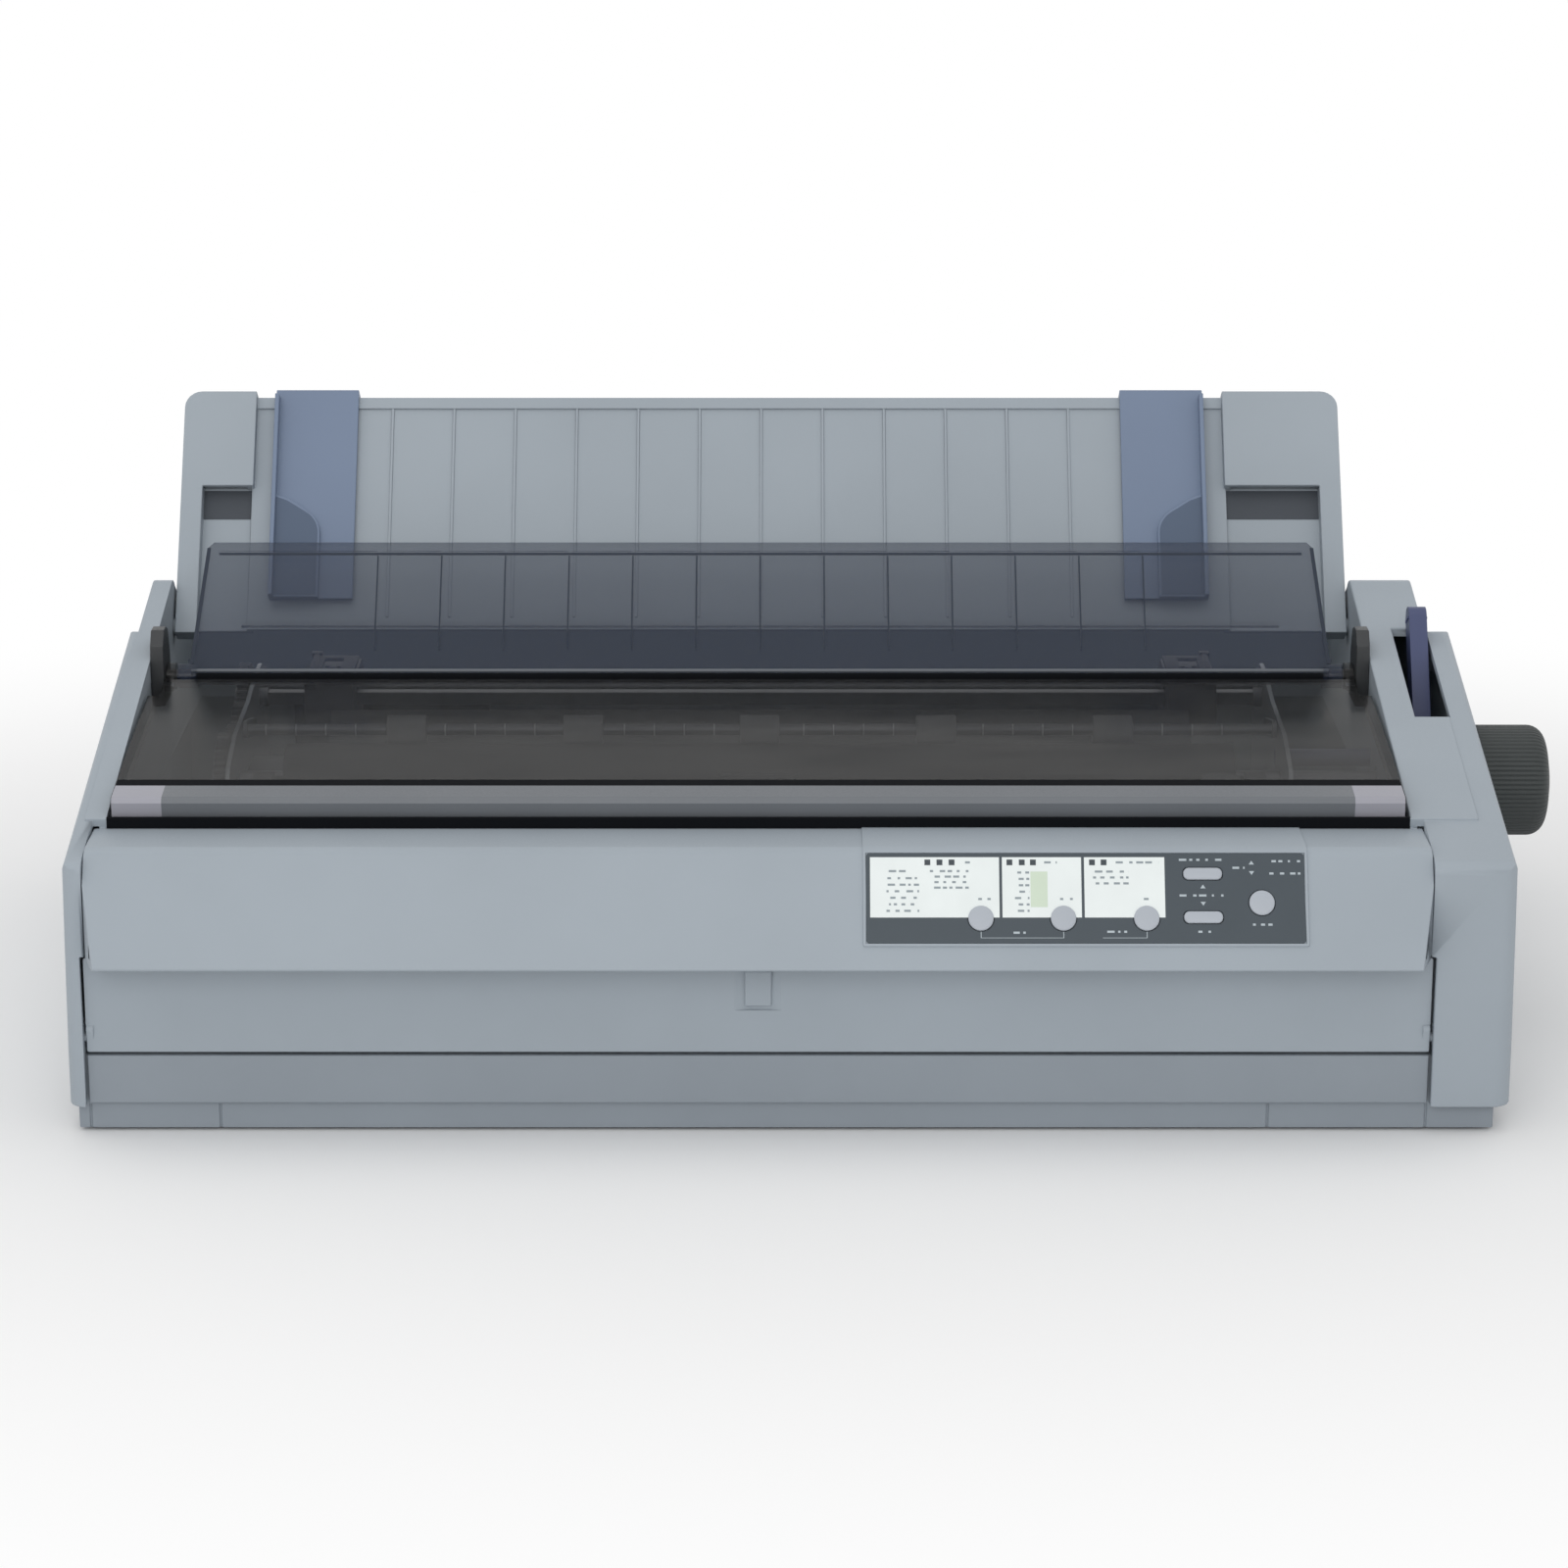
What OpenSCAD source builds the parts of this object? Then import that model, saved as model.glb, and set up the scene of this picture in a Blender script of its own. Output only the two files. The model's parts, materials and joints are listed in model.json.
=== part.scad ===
// Wide-carriage dot matrix printer with hinged smoke covers, a raised sheet guide and tractors.
// The origin is the middle of the footprint on the table: +X right, +Y rear, +Z up, in millimetres.
// Inside the modules X counts from the middle of the paper path and Y from the front of the side wings.

/* [Body] */
// Overall width, from the left wall to the end of the paper feed knob
total_w = 639; // [560:1:760]
// Overall depth, from the lower edge of the nose panel to the rear wall
total_d = 402; // [390:1:480]
// Distance from the right wall to the end of the knob
knob_reach = 34.5; // [28:0.5:42]
// Width of the well under the smoke covers
well_w = 547; // [530:1:552]
// Height of the wings at their front edge
wing_h = 120; // [119:0.5:124]
// Slope of the top of the wings, in degrees
wing_slope = 12.8; // [12:0.1:13.5]
// Thickness of the moulded walls
wall = 3; // [2.5:0.1:3.5]
// Narrowing of the body from the bottom of the wings to their top, on each side
wall_draft = 2.5; // [0:0.1:4]
// Radius of the upright front corners
corner_r = 8; // [4:0.5:12]

/* [Front] */
// Overhang of the nose panel in front of the wings
nose_reach = 18; // [14:0.5:20]
// Height of the lower edge of the nose panel
nose_low_z = 79; // [77:0.5:82]
// Height of the rounded upper edge of the nose panel
nose_top_z = 123.6; // [122:0.1:126]
// Top of the base plinth, where the upper case stands on it
plinth_h = 12.5; // [10:0.5:14]
// Top of the sill strip under the front cover
sill_h = 34.6; // [32:0.1:35.5]
// Width of the front cover
door_w = 561; // [540:1:562]

/* [Smoke covers] */
// Distance of the cover hinge behind the wing front
hinge_y = 186; // [184:0.5:188]
// Height of the cover hinge
hinge_z = 151; // [150:0.5:153]
// Slope of the closed printer cover, in degrees
cover_slope = 6.7; // [6:0.1:7.5]
// Length of the printer cover, from the hinge to its front lip
cover_len = 148.5; // [140:0.5:149]
// Lean of the rear lid back from upright, in degrees
lid_lean = 40; // [36:1:44]
// Length of the rear lid from the hinge
lid_len = 67; // [55:1:72]
// Space between each side of the rear lid and the well
lid_clear = 16; // [13.5:0.5:20]
// Thickness of the smoke plastic
smoke_t = 2.5; // [2:0.1:3]

/* [Sheet guide] */
// Lean of the sheet guide back from upright, in degrees
guide_lean = 34; // [30:1:40]
// Length of the sheet guide above its pivot
guide_len = 116.5; // [100:0.5:120]
// Width of an edge guide
edge_w = 39; // [30:1:45]
// Spacing of the ribs on the lid and on the sheet guide
rib_pitch = 29.06; // [27:0.01:31]

/* [Mechanism] */
// Radius of the rubber platen
platen_r = 16.2; // [14:0.1:17]
// Space between each end of the rubber platen and its frame
platen_clear = 21; // [19:0.5:28]
// Space between each chassis frame and the side of the well
frame_clear = 42.5; // [38.5:0.5:44.5]
// Radius of the carriage guide rod
rod_r = 6; // [5:0.1:7]
// Radius of the paper feed knob
knob_r = 24.5; // [20:0.5:27]
// Module of the feed gears
gear_m = 1; // [0.95:0.01:1.02]

/* [Hidden] */
$fn = 48;

// Clearances
run = 0.05;       // radial clearance of a shaft in its bore
air = 0.3;        // gap between neighbours on different bodies
over = 1;         // how far a cut runs past a face

// Colours
case_grey = [0.63, 0.66, 0.68];
base_grey = [0.55, 0.58, 0.60];
smoke = [0.36, 0.39, 0.45, 0.6];
blue_grey = [0.46, 0.54, 0.64];
dark_blue = [0.28, 0.32, 0.45];
knob_grey = [0.33, 0.36, 0.36];
near_black = [0.12, 0.12, 0.13];
steel = [0.70, 0.71, 0.73];
board_green = [0.12, 0.35, 0.20];
gear_white = [0.88, 0.87, 0.82];
button_grey = [0.72, 0.73, 0.74];
motor_grey = [0.35, 0.35, 0.37];

// Body outline
knob_end_x = total_w / 2;
mid_x = -30.5;                                // middle of the paper path, from the origin
wing_y = nose_reach - total_d / 2;            // front of the wings, from the origin
left_x = -total_w / 2 - mid_x;
right_x = knob_end_x - knob_reach - mid_x;
rear_y = total_d - nose_reach;
foot_h = 1.5;
inner_left_x = left_x + 6.5;                  // sides of the raised middle body
inner_right_x = right_x - 13.5;
cheek_end_y = 212;
peak_y = 266;
shaft_y = 145;                                // platen axis
shaft_z = 114;
well_x = well_w / 2;
well_y0 = 37;                                 // front and rear of the well opening
well_y1 = rear_y - 44;
door_x = door_w / 2;
door_y = 3;                                   // front cover stands this far behind the wings
door_seam = 1.3;                              // seam between the sill strip and the front cover
door_z0 = sill_h + door_seam;
door_z1 = nose_low_z - 1.5;
door_axis = [6, door_z0 + 6];
plinth_x0 = left_x + 3.5;
plinth_x1 = right_x - 6.5;
plinth_grooves = [-door_x, left_x + 63, right_x - 101.5, door_x];
front_top = nose_low_z - 0.5;                 // top of the opening for the front cover and sill strip
tray_top = 34;                                // top of the lower case inside the body
tray_wall = 2.5;
tray_gap = 0.5;                               // gap between the lower case and the upper case's walls
tray_x0 = left_x + 2 * wall + tray_gap;
tray_x1 = right_x - 2 * wall - tray_gap;
tray_y1 = rear_y - wall - tray_gap;
wing_round = 4;                               // radius of the outer top edges of the wings
vent_w = 3;
vent_pitch = 8;
vent_count = 12;
vent_z0 = 66;
vent_z1 = 94;
vent_x0 = left_x + 59;

function slope_z(y) = wing_h + y * tan(wing_slope);
function arc(cx, cy, r, a0, a1, n = 6) =
    [for (i = [0 : n]) [cx + r * cos(a0 + (a1 - a0) * i / n), cy + r * sin(a0 + (a1 - a0) * i / n)]];

// Nose panel
nose_top_y = 8;
nose_lean = atan2(nose_top_y + nose_reach, nose_top_z - nose_low_z);
nose_x = well_x + 5.5;
panel_x1 = nose_x - 53.4;
panel_x0 = panel_x1 - 180.9;
panel_t0 = 2.2;                               // overlay from here to here down the nose
panel_t1 = 40.2;
overlay_t = 0.6;
rim_w = 1.4;                                  // raised rim round the overlay
rim_h = 0.8;
rim_gap = 0.15;                               // gap between the overlay and the rim
round_buttons = [for (b = [[47.2, 29.7], [81.2, 29.7], [115.5, 29.7], [163.1, 23.2]])
    [panel_x0 + b[0], b[1]]];
bar_buttons = [for (t = [10.9, 29.3]) [panel_x0 + 138.9, t]];
button_r = 5.25;
bar_w = 16;
bar_h = 5;
board_h = -11;                                // rear face of the control board, from the nose face
board_t = 1.6;

// Hinges
pin_r = 3;
ear_r = 6;
bracket_t = 6;
cover_x = well_x - 1.5;
cover_ear_x = well_x - bracket_t - 0.5;
lid_ear_x = cover_ear_x - 5;
lid_ear_w = 8.5;
lid_w = 2 * (well_x - lid_clear);
cover_top_h = 2.4;                            // top of the printer cover above its hinge plane
cover_notch = 30;                             // the cover is narrow this close to its hinge
skirt_h = 6;

// Sheet guide
guide_y = 258;
guide_z = 156;
guide_x = well_x - 1;
left_pad_x = 34.8 - well_x;                   // inner edges of the two side pads
right_pad_x = well_x - 55.5;
pad_s0 = 68.5;                                // lower edge of the pads
guide_t = 3;
rail_s0 = guide_len - 7.5;
rail_s1 = guide_len - 1.8;
left_edge_x = left_pad_x + 9.2;
right_edge_x = right_pad_x - 9.3;
edge_s0 = 12;

// Chassis
frame_x = well_x - frame_clear;               // inner faces of the two chassis frames
platen_x = frame_x - platen_clear;
frame_t = 2;
chassis_z = 14;                               // underside of the base plate
chassis_y0 = 48;
chassis_y1 = 262;
screw_x = frame_x - 26;
screw_points = [for (x = [-screw_x, 0, screw_x], y = [chassis_y0 + 8, chassis_y1 - 16]) [x, y]];
rod_y = 95;
rod_z = 92;
shaft_r = 4;
bail_axis = [184, 128];
bail_roller_r = 6.5;
bail_roller_w = 17.5;
bail_pitch = 78.5;
bail_rod_r = 2.5;
bail_pos = turn_to([shaft_y, shaft_z], platen_r + bail_roller_r + air, 60);
strike_y = shaft_y - platen_r;                // where the pins strike the platen
ribbon_y = strike_y - 1.7;
ribbon_t = 0.3;
release_axis = [shaft_y + 22, 118];
lever_angle = 59;                             // the lever's rest, from level
lever_x0 = right_x - 22.5;
lever_w = 8;
lever_slot_y0 = 125;
lever_slot_y1 = 209;
lever_reach = 64.7;                           // from the axis to the grip
belt_y = 80;
belt_z0 = 68;
belt_z1 = 74;
pulley_x = frame_x - 26;
pulley_r = 7;
cartridge_x = frame_x - 9;
cartridge_z0 = 112;
cartridge_z1 = cartridge_z0 + 17;
ribbon_knob_at = [cartridge_x - 24, 79];

// Feed gear train, in the plane left of the left frame
gear_x0 = -frame_x - frame_t - 7;
gear_w = 5;
platen_teeth = 40;
idler_teeth = 25;
tractor_teeth = 30;
pinion_teeth = 14;
stud_r = 3;
drive_axis = [228, 130];
guide_shaft_y = drive_axis[0] + 20;
idler_angle = 5;
pinion_angle = -80;
function turn_to(p, d, a) = [p[0] + d * cos(a), p[1] + d * sin(a)];
function mesh_distance(n1, n2) = gear_m * (n1 + n2) / 2;
function bearing_of(p, q) = atan2(q[1] - p[1], q[0] - p[0]);
// Lower meeting point of a circle round p and a circle round q
function circles_meet(p, rp, q, rq) =
    let (d = norm(q - p), a = acos((rp * rp + d * d - rq * rq) / (2 * rp * d)))
    turn_to(p, rp, bearing_of(p, q) - a);
// Turn of a gear that meshes with a gear of n1 teeth turned by a1, seen in the direction phi
function mesh_turn(n1, a1, phi, n2) = phi + 180 + 360 / n2 * (0.5 - (a1 - phi) * n1 / 360);
platen_axis = [shaft_y, shaft_z];
idler_axis = turn_to(platen_axis, mesh_distance(platen_teeth, idler_teeth), idler_angle);
second_axis = circles_meet(idler_axis, mesh_distance(idler_teeth, idler_teeth),
    drive_axis, mesh_distance(idler_teeth, tractor_teeth));
pinion_axis = turn_to(idler_axis, mesh_distance(idler_teeth, pinion_teeth), pinion_angle);
idler_turn = mesh_turn(platen_teeth, 0, bearing_of(platen_axis, idler_axis), idler_teeth);
second_turn = mesh_turn(idler_teeth, idler_turn, bearing_of(idler_axis, second_axis), idler_teeth);
tractor_turn = mesh_turn(idler_teeth, second_turn, bearing_of(second_axis, drive_axis), tractor_teeth);
pinion_turn = mesh_turn(idler_teeth, idler_turn, pinion_angle, pinion_teeth);

// Tractors
tractor_x = frame_x - 34;
tractor_w = 22;
pin_pitch = 12.7;
pin_count = 6;
tractor_r = pin_pitch * pin_count / (2 * PI);
drive_journal_r = 4.5;
square = 6;
pin_tip_r = tractor_r + 2.3;
flap_z = drive_axis[1] + pin_tip_r + 0.8;
flap_t = 1.8;
flap_y0 = drive_axis[0] - 22;
flap_y1 = drive_axis[0] + 18;
flap_hinge = [-tractor_w / 2 + 2.5, flap_z + 0.2];
flap_pin_r = 1;

// Electronics
main_board_z = 20;
main_board_x = right_x - 250;
supply_x = left_x + 19;
supply_z = 12;
parallel_x = right_x - 133;
parallel_z = main_board_z + 9;
parallel_size = [64, 14];
usb_x = right_x - 195;
usb_z = main_board_z + 7.6;
usb_size = [12, 12];
inlet_x = left_x + 39;
inlet_z = 33;
inlet_size = [28, 20];
switch_y = 50;
switch_z = 53;
switch_w = 11;                                // opening for the rocker
switch_h = 20;
switch_axis_x = left_x + 6;

// ---- Helpers -------------------------------------------------------------------------------

module placed() translate([mid_x, wing_y, 0]) children();

module box(x0, x1, y0, y1, z0, z1) translate([x0, y0, z0]) cube([x1 - x0, y1 - y0, z1 - z0]);

// A profile in (Y, Z) carried from x0 to x1
module along_x(x0, x1) translate([x0, 0, 0]) rotate([90, 0, 90]) linear_extrude(x1 - x0) children();

// A profile in (X, Z) carried from y0 to y1
module along_y(y0, y1) translate([0, y1, 0]) rotate([90, 0, 0]) linear_extrude(y1 - y0) children();

module rod_x(x0, x1, at, r) translate([x0, at[0], at[1]]) rotate([0, 90, 0]) cylinder(h = x1 - x0, r = r);

module rod_z(x, y, z0, z1, r) translate([x, y, z0]) cylinder(h = z1 - z0, r = r);

// A straight link with round ends from p to q, in the (Y, Z) plane
module link(x0, x1, p, q, r) {
    a = bearing_of(p, q);
    along_x(x0, x1) polygon(concat(
        arc(p[0], p[1], r, a + 90, a + 270, 16), arc(q[0], q[1], r, a - 90, a + 90, 16)));
}

// A frame whose Y runs up a panel leaning back from upright and whose Z points out of its front
module on_panel(at, lean) translate([0, at[0], at[1]]) rotate([90 - lean, 0, 0]) children();

module on_nose(x, t, h = 0)
    on_panel([nose_top_y, nose_top_z], nose_lean) translate([x, -t, h]) children();

// Point (Y, Z) at a distance t down the nose face and h in front of it
function nose_point(t, h) = [nose_top_y - t * sin(nose_lean) - h * cos(nose_lean),
    nose_top_z - t * cos(nose_lean) + h * sin(nose_lean)];

// Point on the inside of the nose face at the height z
function nose_inside(z) =
    nose_point((nose_top_z - wall * sin(nose_lean) - z) / cos(nose_lean), -wall);

module on_guide() on_panel([guide_y, guide_z], guide_lean) children();

module on_lid() on_panel([hinge_y, hinge_z], lid_lean) children();

module on_cover() translate([0, hinge_y, hinge_z]) rotate([cover_slope, 0, 0]) children();

module both_sides() {
    children();
    mirror([1, 0, 0]) children();
}

module round_rect(w, h, r) {
    square([w - 2 * r, h], center = true);
    square([w, h - 2 * r], center = true);
    for (x = [-1, 1], y = [-1, 1]) translate([x * (w / 2 - r), y * (h / 2 - r)]) circle(r = r);
}

// Outline of a gear with its first tooth on the X axis: root, flank and tip points of each tooth
module gear_outline(n) {
    pitch_r = gear_m * n / 2;
    pitch = 360 / n;
    polygon([for (i = [0 : n - 1], p = [
        [-0.33, -1.2], [-0.235, 0], [-0.10, 0.95], [0.10, 0.95], [0.235, 0], [0.33, -1.2]])
        let (r = pitch_r + p[1] * gear_m, a = (i + p[0]) * pitch) [r * cos(a), r * sin(a)]]);
}

// A feed gear at its place in the train, turned to mesh
module feed_gear(n, at, turn, bore_r) translate([gear_x0, at[0], at[1]]) rotate([90, 0, 90])
    linear_extrude(gear_w) difference() {
        rotate(turn) gear_outline(n);
        circle(r = bore_r);
    }

// ---- Casings -------------------------------------------------------------------------------

function cheek_profile() = concat([[0, plinth_h]],
    arc(6, slope_z(0) - 6, 6, 180, 90 + wing_slope, 4),
    arc(cheek_end_y - 7, slope_z(cheek_end_y) - 8.5, 7, 90 + wing_slope, 20, 5),
    [[cheek_end_y + 14, slope_z(cheek_end_y) - 22], [rear_y - 9, 134], [rear_y, 125],
    [rear_y, plinth_h]]);

function ridge_profile(low_z) = concat([[well_y0 - 1, low_z], [well_y0 - 1, slope_z(well_y0 - 1)]],
    arc(peak_y - 9, slope_z(peak_y) - 11.2, 9, 90 + wing_slope, 35, 5),
    [[peak_y + 26, 156], [well_y1, 147.5], [rear_y - 8, 141], [rear_y, 133], [rear_y, low_z]]);

function cheek_cavity() = [[wall, -over], [wall, slope_z(wall) - wall - 4],
    [wall + 3, slope_z(wall + 3) - wall - 0.4], [cheek_end_y - 4, slope_z(cheek_end_y - 4) - wall - 0.4],
    [cheek_end_y + 12, slope_z(cheek_end_y) - 25.5], [rear_y - 10.5, 131], [rear_y - wall, 123.5],
    [rear_y - wall, -over]];

function ridge_cavity() = [[well_y0 + 2, 0], [well_y0 + 2, slope_z(well_y0 + 2) - wall - 1],
    [peak_y - 9, slope_z(peak_y - 9) - wall - 1], [peak_y - 2, 174.2], [peak_y + 24, 152.8],
    [well_y1, 144.2], [rear_y - 9.4, 137.8], [rear_y - wall, 131.6], [rear_y - wall, 0]];

// Front view of the body with its drafted side walls
module body_front(inset) {
    top_z = 190;
    foot_step = inset > 0 ? wall : 0;
    lean = wall_draft * (top_z - plinth_h) / (168 - plinth_h);
    polygon(concat(
        [[left_x + inset + foot_step, -over], [left_x + inset + foot_step, plinth_h + 9]],
        [[left_x + inset, plinth_h + 9 + foot_step], [left_x + inset + lean, top_z],
        [right_x - inset - lean, top_z], [right_x - inset, plinth_h + 9 + foot_step]],
        [[right_x - inset - foot_step, plinth_h + 9], [right_x - inset - foot_step, -over]]));
}

// Plan of the body with its round front corners
module body_plan() polygon(concat(
    arc(left_x + corner_r, corner_r, corner_r, 270, 180),
    [[left_x, rear_y], [right_x, rear_y]],
    arc(right_x - corner_r, corner_r, corner_r, 0, -90)));

// Round outer top edges of the wings, drawn in a front view that leans back with their slope
module wing_edges() {
    top = wing_h * cos(wing_slope);
    inset = 2 + wing_round;
    rotate([wing_slope, 0, 0]) along_y(-rear_y / 2, 1.5 * rear_y) polygon(concat(
        [[left_x - over, -rear_y], [left_x - over, top - wing_round - 3]],
        arc(left_x + inset, top - wing_round, wing_round, 180, 90),
        [[left_x + inset, 2 * top], [right_x - inset, 2 * top]],
        arc(right_x - inset, top - wing_round, wing_round, 90, 0),
        [[right_x + over, top - wing_round - 3], [right_x + over, -rear_y]]));
}

module body_solid() intersection() {
    along_x(left_x, right_x) polygon(cheek_profile());
    along_y(-over, rear_y + over) body_front(0);
    linear_extrude(200) body_plan();
    wing_edges();
}

module nose_solid() intersection() {
    along_x(-nose_x, nose_x) polygon([[well_y0 + 3, 96], [well_y0 + 3, nose_top_z + 0.3],
        [nose_top_y + 2, nose_top_z], [nose_top_y - 0.8, nose_top_z - 1.6],
        [-nose_reach, nose_low_z], [-nose_reach + 1.5, nose_low_z - 1], [12, nose_low_z - 1], [12, 96]]);
    linear_extrude(200) polygon([[-nose_x + 5.6, -nose_reach], [-nose_x, 0], [-nose_x, well_y0 + 4],
        [nose_x, well_y0 + 4], [nose_x, 0], [nose_x - 5.6, -nose_reach]]);
}

// Raised surround of the control panel, from the back of the ledge over the nose edge to below the overlay
module panel_surround() difference() {
    along_x(panel_x0 - rim_w, panel_x1 + rim_w) polygon([[well_y0 + over, nose_top_z - 1],
        [well_y0 + over, nose_top_z + rim_h], [nose_top_y + 2.4, nose_top_z + rim_h],
        nose_point(1.4, rim_h), nose_point(panel_t1 + rim_w, rim_h), nose_point(panel_t1 + rim_w, -1),
        nose_point(3, -1), [nose_top_y + 3, nose_top_z - 1]]);
    on_nose((panel_x0 + panel_x1) / 2, (panel_t0 + panel_t1) / 2) linear_extrude(rim_h + over)
        square([panel_x1 - panel_x0 + 2 * rim_gap, panel_t1 - panel_t0 + 2 * rim_gap], center = true);
}

module button_shape(kind, grow) {
    if (kind == "round") circle(r = button_r + grow);
    else round_rect(bar_w + 2 * grow, bar_h + 2 * grow, bar_h / 2 - 0.2);
}

// Prisms through the nose at every button
module button_holes(grow, h0, h1) {
    for (b = round_buttons) on_nose(b[0], b[1], h0) linear_extrude(h1 - h0) button_shape("round", grow);
    for (b = bar_buttons) on_nose(b[0], b[1], h0) linear_extrude(h1 - h0) button_shape("bar", grow);
}

// Windows in the rear wall round the sockets, with a gap all round
module rear_windows(gap) along_y(rear_y - 10, rear_y + over) {
    translate([parallel_x, parallel_z]) square(parallel_size + [2, 2] * gap, center = true);
    translate([usb_x, usb_z]) square(usb_size + [2, 2] * gap, center = true);
    translate([inlet_x, inlet_z]) square(inlet_size + [2, 2] * gap, center = true);
}

module upper_case() color(case_grey) placed() {
    difference() {
        union() {
            difference() {
                body_solid();
                box(-nose_x - 0.5, nose_x + 0.5, -over, well_y0 + 3, front_top, 200);
            }
            along_x(inner_left_x, inner_right_x) polygon(ridge_profile(60));
            nose_solid();
            panel_surround();
        }
        difference() {
            intersection() {
                along_x(left_x, right_x) polygon(cheek_cavity());
                along_y(-over, rear_y + over) body_front(wall);
            }
            box(-nose_x - 0.5 - wall, nose_x + 0.5 + wall, -over, well_y0 - 1, front_top, 200);
        }
        along_x(inner_left_x + wall, inner_right_x - wall) polygon(ridge_cavity());
        // Hollow of the nose behind its face
        along_x(-nose_x + wall, nose_x - wall) polygon([nose_inside(nose_top_z - wall),
            nose_inside(nose_low_z + 2.5), [well_y0 - wall, nose_low_z + 2.5],
            [well_y0 - wall, nose_top_z - wall]]);
        // Well under the smoke covers
        box(-well_x, well_x, well_y0, well_y1, 60, 200);
        // Front opening for the front cover and the sill strip
        box(-door_x - 1, door_x + 1, -over, 14, 0, front_top);
        button_holes(0.35, -wall - over, over);
        // Slot of the paper release lever
        box(lever_x0 - 6, lever_x0 + 9.5, lever_slot_y0, lever_slot_y1, 136, 200);
        // Platen shaft and power switch
        rod_x(inner_right_x, right_x + over, platen_axis, shaft_r + 2);
        switch_block(left_x - over, left_x + wall + 2, 0);
        rear_windows(0.5);
        // Vents behind the power supply
        for (i = [0 : vent_count - 1]) translate([vent_x0 + i * vent_pitch, 0, 0])
            box(0, vent_w, rear_y - wall - over, rear_y + over, vent_z0, vent_z1);
        sheet_guide_pivots(run, 4);
    }
    // Walls that line the well
    difference() {
        intersection() {
            along_x(-well_x - wall, well_x + wall) polygon(ridge_profile(100));
            union() {
                box(-well_x - wall, -well_x, well_y0 - wall, well_y1 + wall, 100, 200);
                box(well_x, well_x + wall, well_y0 - wall, well_y1 + wall, 100, 200);
                box(-well_x, well_x, well_y1, well_y1 + wall, 100, 200);
            }
        }
        sheet_guide_pivots(run, 4);
        // Shafts of the platen knob and of the release lever
        rod_x(well_x - over, well_x + wall + over, platen_axis, shaft_r + 2);
        rod_x(well_x - over, well_x + wall + over, release_axis, shaft_r + 0.6);
    }
    // Lugs that the closed printer cover rests on
    both_sides() on_cover() box(well_x - wall, well_x, -cover_len + 8.5, -cover_len + 20.5, -13,
        cover_top_h - smoke_t - skirt_h - air);
    // Bearings of the front cover
    both_sides() difference() {
        box(door_x + 1, door_x + 4.4, 3, 13, sill_h, door_axis[1] + 6);
        rod_x(door_x - 1, door_x + 6, door_axis, 2 + run);
    }
    // Posts of the control board
    for (x = [panel_x0 + 6, panel_x1 - 6], t = [8, 36])
        on_nose(x, t, board_h + board_t) cylinder(h = -board_h - board_t - wall + 0.5, r = 2.5);
    // Collar that carries the power switch
    difference() {
        switch_block(left_x + wall - 0.5, left_x + 11, 2);
        switch_block(left_x, left_x + 12, 0);
        switch_pin(20, 1.5 + run);
    }
}

// A block round the opening of the power switch, grown on every side
module switch_block(x0, x1, grow) box(x0, x1, switch_y - switch_w / 2 - grow, switch_y + switch_w / 2 + grow,
    switch_z - switch_h / 2 - grow, switch_z + switch_h / 2 + grow);

module switch_pin(length, r) translate([switch_axis_x, switch_y, switch_z]) rotate([90, 0, 0])
    cylinder(h = length, r = r, center = true);

module lower_case() color(base_grey) placed() {
    floor_z = foot_h + wall;
    difference() {
        union() {
            box(plinth_x0, plinth_x1, 6, rear_y - wall, foot_h, plinth_h);
            box(tray_x0, tray_x1, 6, tray_y1, foot_h, tray_top);
            box(-door_x, door_x, door_y, 8, plinth_h + 1, sill_h);
        }
        box(tray_x0 + tray_wall, tray_x1 - tray_wall, 6 + tray_wall, tray_y1 - tray_wall, floor_z,
            tray_top + over);
        // Grooves where the corner blocks meet the front
        for (x = plinth_grooves) box(x - 0.5, x + 0.5, 5, 6.8, foot_h - over, plinth_h - 0.5);
        rear_windows(0.7);
        for (p = screw_points) rod_z(p[0], p[1], 8, chassis_z + over, 2);
    }
    // Posts under the chassis and under the boards
    difference() {
        for (p = screw_points) rod_z(p[0], p[1], floor_z - 0.5, chassis_z, 6);
        for (p = screw_points) rod_z(p[0], p[1], 8, chassis_z + over, 2);
    }
    for (x = [10, 200], y = [rear_y - 88, rear_y - 20])
        rod_z(main_board_x + x, y, floor_z - 0.5, main_board_z, 3);
    for (x = [8, 142], y = [rear_y - 85, rear_y - 20])
        rod_z(supply_x + x, y, floor_z - 0.5, supply_z, 3);
}

module rubber_feet() color(near_black) placed()
    for (x = [plinth_x0 + 32, plinth_x1 - 32], y = [40, rear_y - 40]) rod_z(x, y, 0, foot_h, 9);

module front_cover() color(case_grey) placed() {
    difference() {
        union() {
            box(-door_x, door_x, door_y, door_y + wall, door_z0, door_z1);
            box(-door_x + 4, door_x - 4, door_y + wall - 0.5, door_y + 7, door_z1 - 2.5, door_z1);
            both_sides()
                box(door_x - 6.5, door_x - 4, door_y + wall - 0.5, door_y + 6, door_z0 + 1.5, door_z1);
        }
        // Finger notch and the shallow scoop below it
        box(-6.5, 6.5, door_y - over, door_y + 9, door_z1 - 5, door_z1 + over);
        translate([0, door_y - 34, door_z1 - 23]) cylinder(h = 30, r = 35.4);
    }
    along_x(-5.5, 5.5) polygon([[door_y + 2.5, door_z1 - 22], [door_y, door_z1 - 21],
        [door_y - 0.4, door_z1 - 6], [door_y + 0.6, door_z1 - 5], [door_y + 2.5, door_z1 - 5]]);
    // Hinge pins on their ribs
    both_sides() {
        rod_x(door_x - 0.5, door_x + 4, door_axis, 2);
        link(door_x - 3, door_x, door_axis, door_axis + [-1, 4], 3);
    }
}

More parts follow.
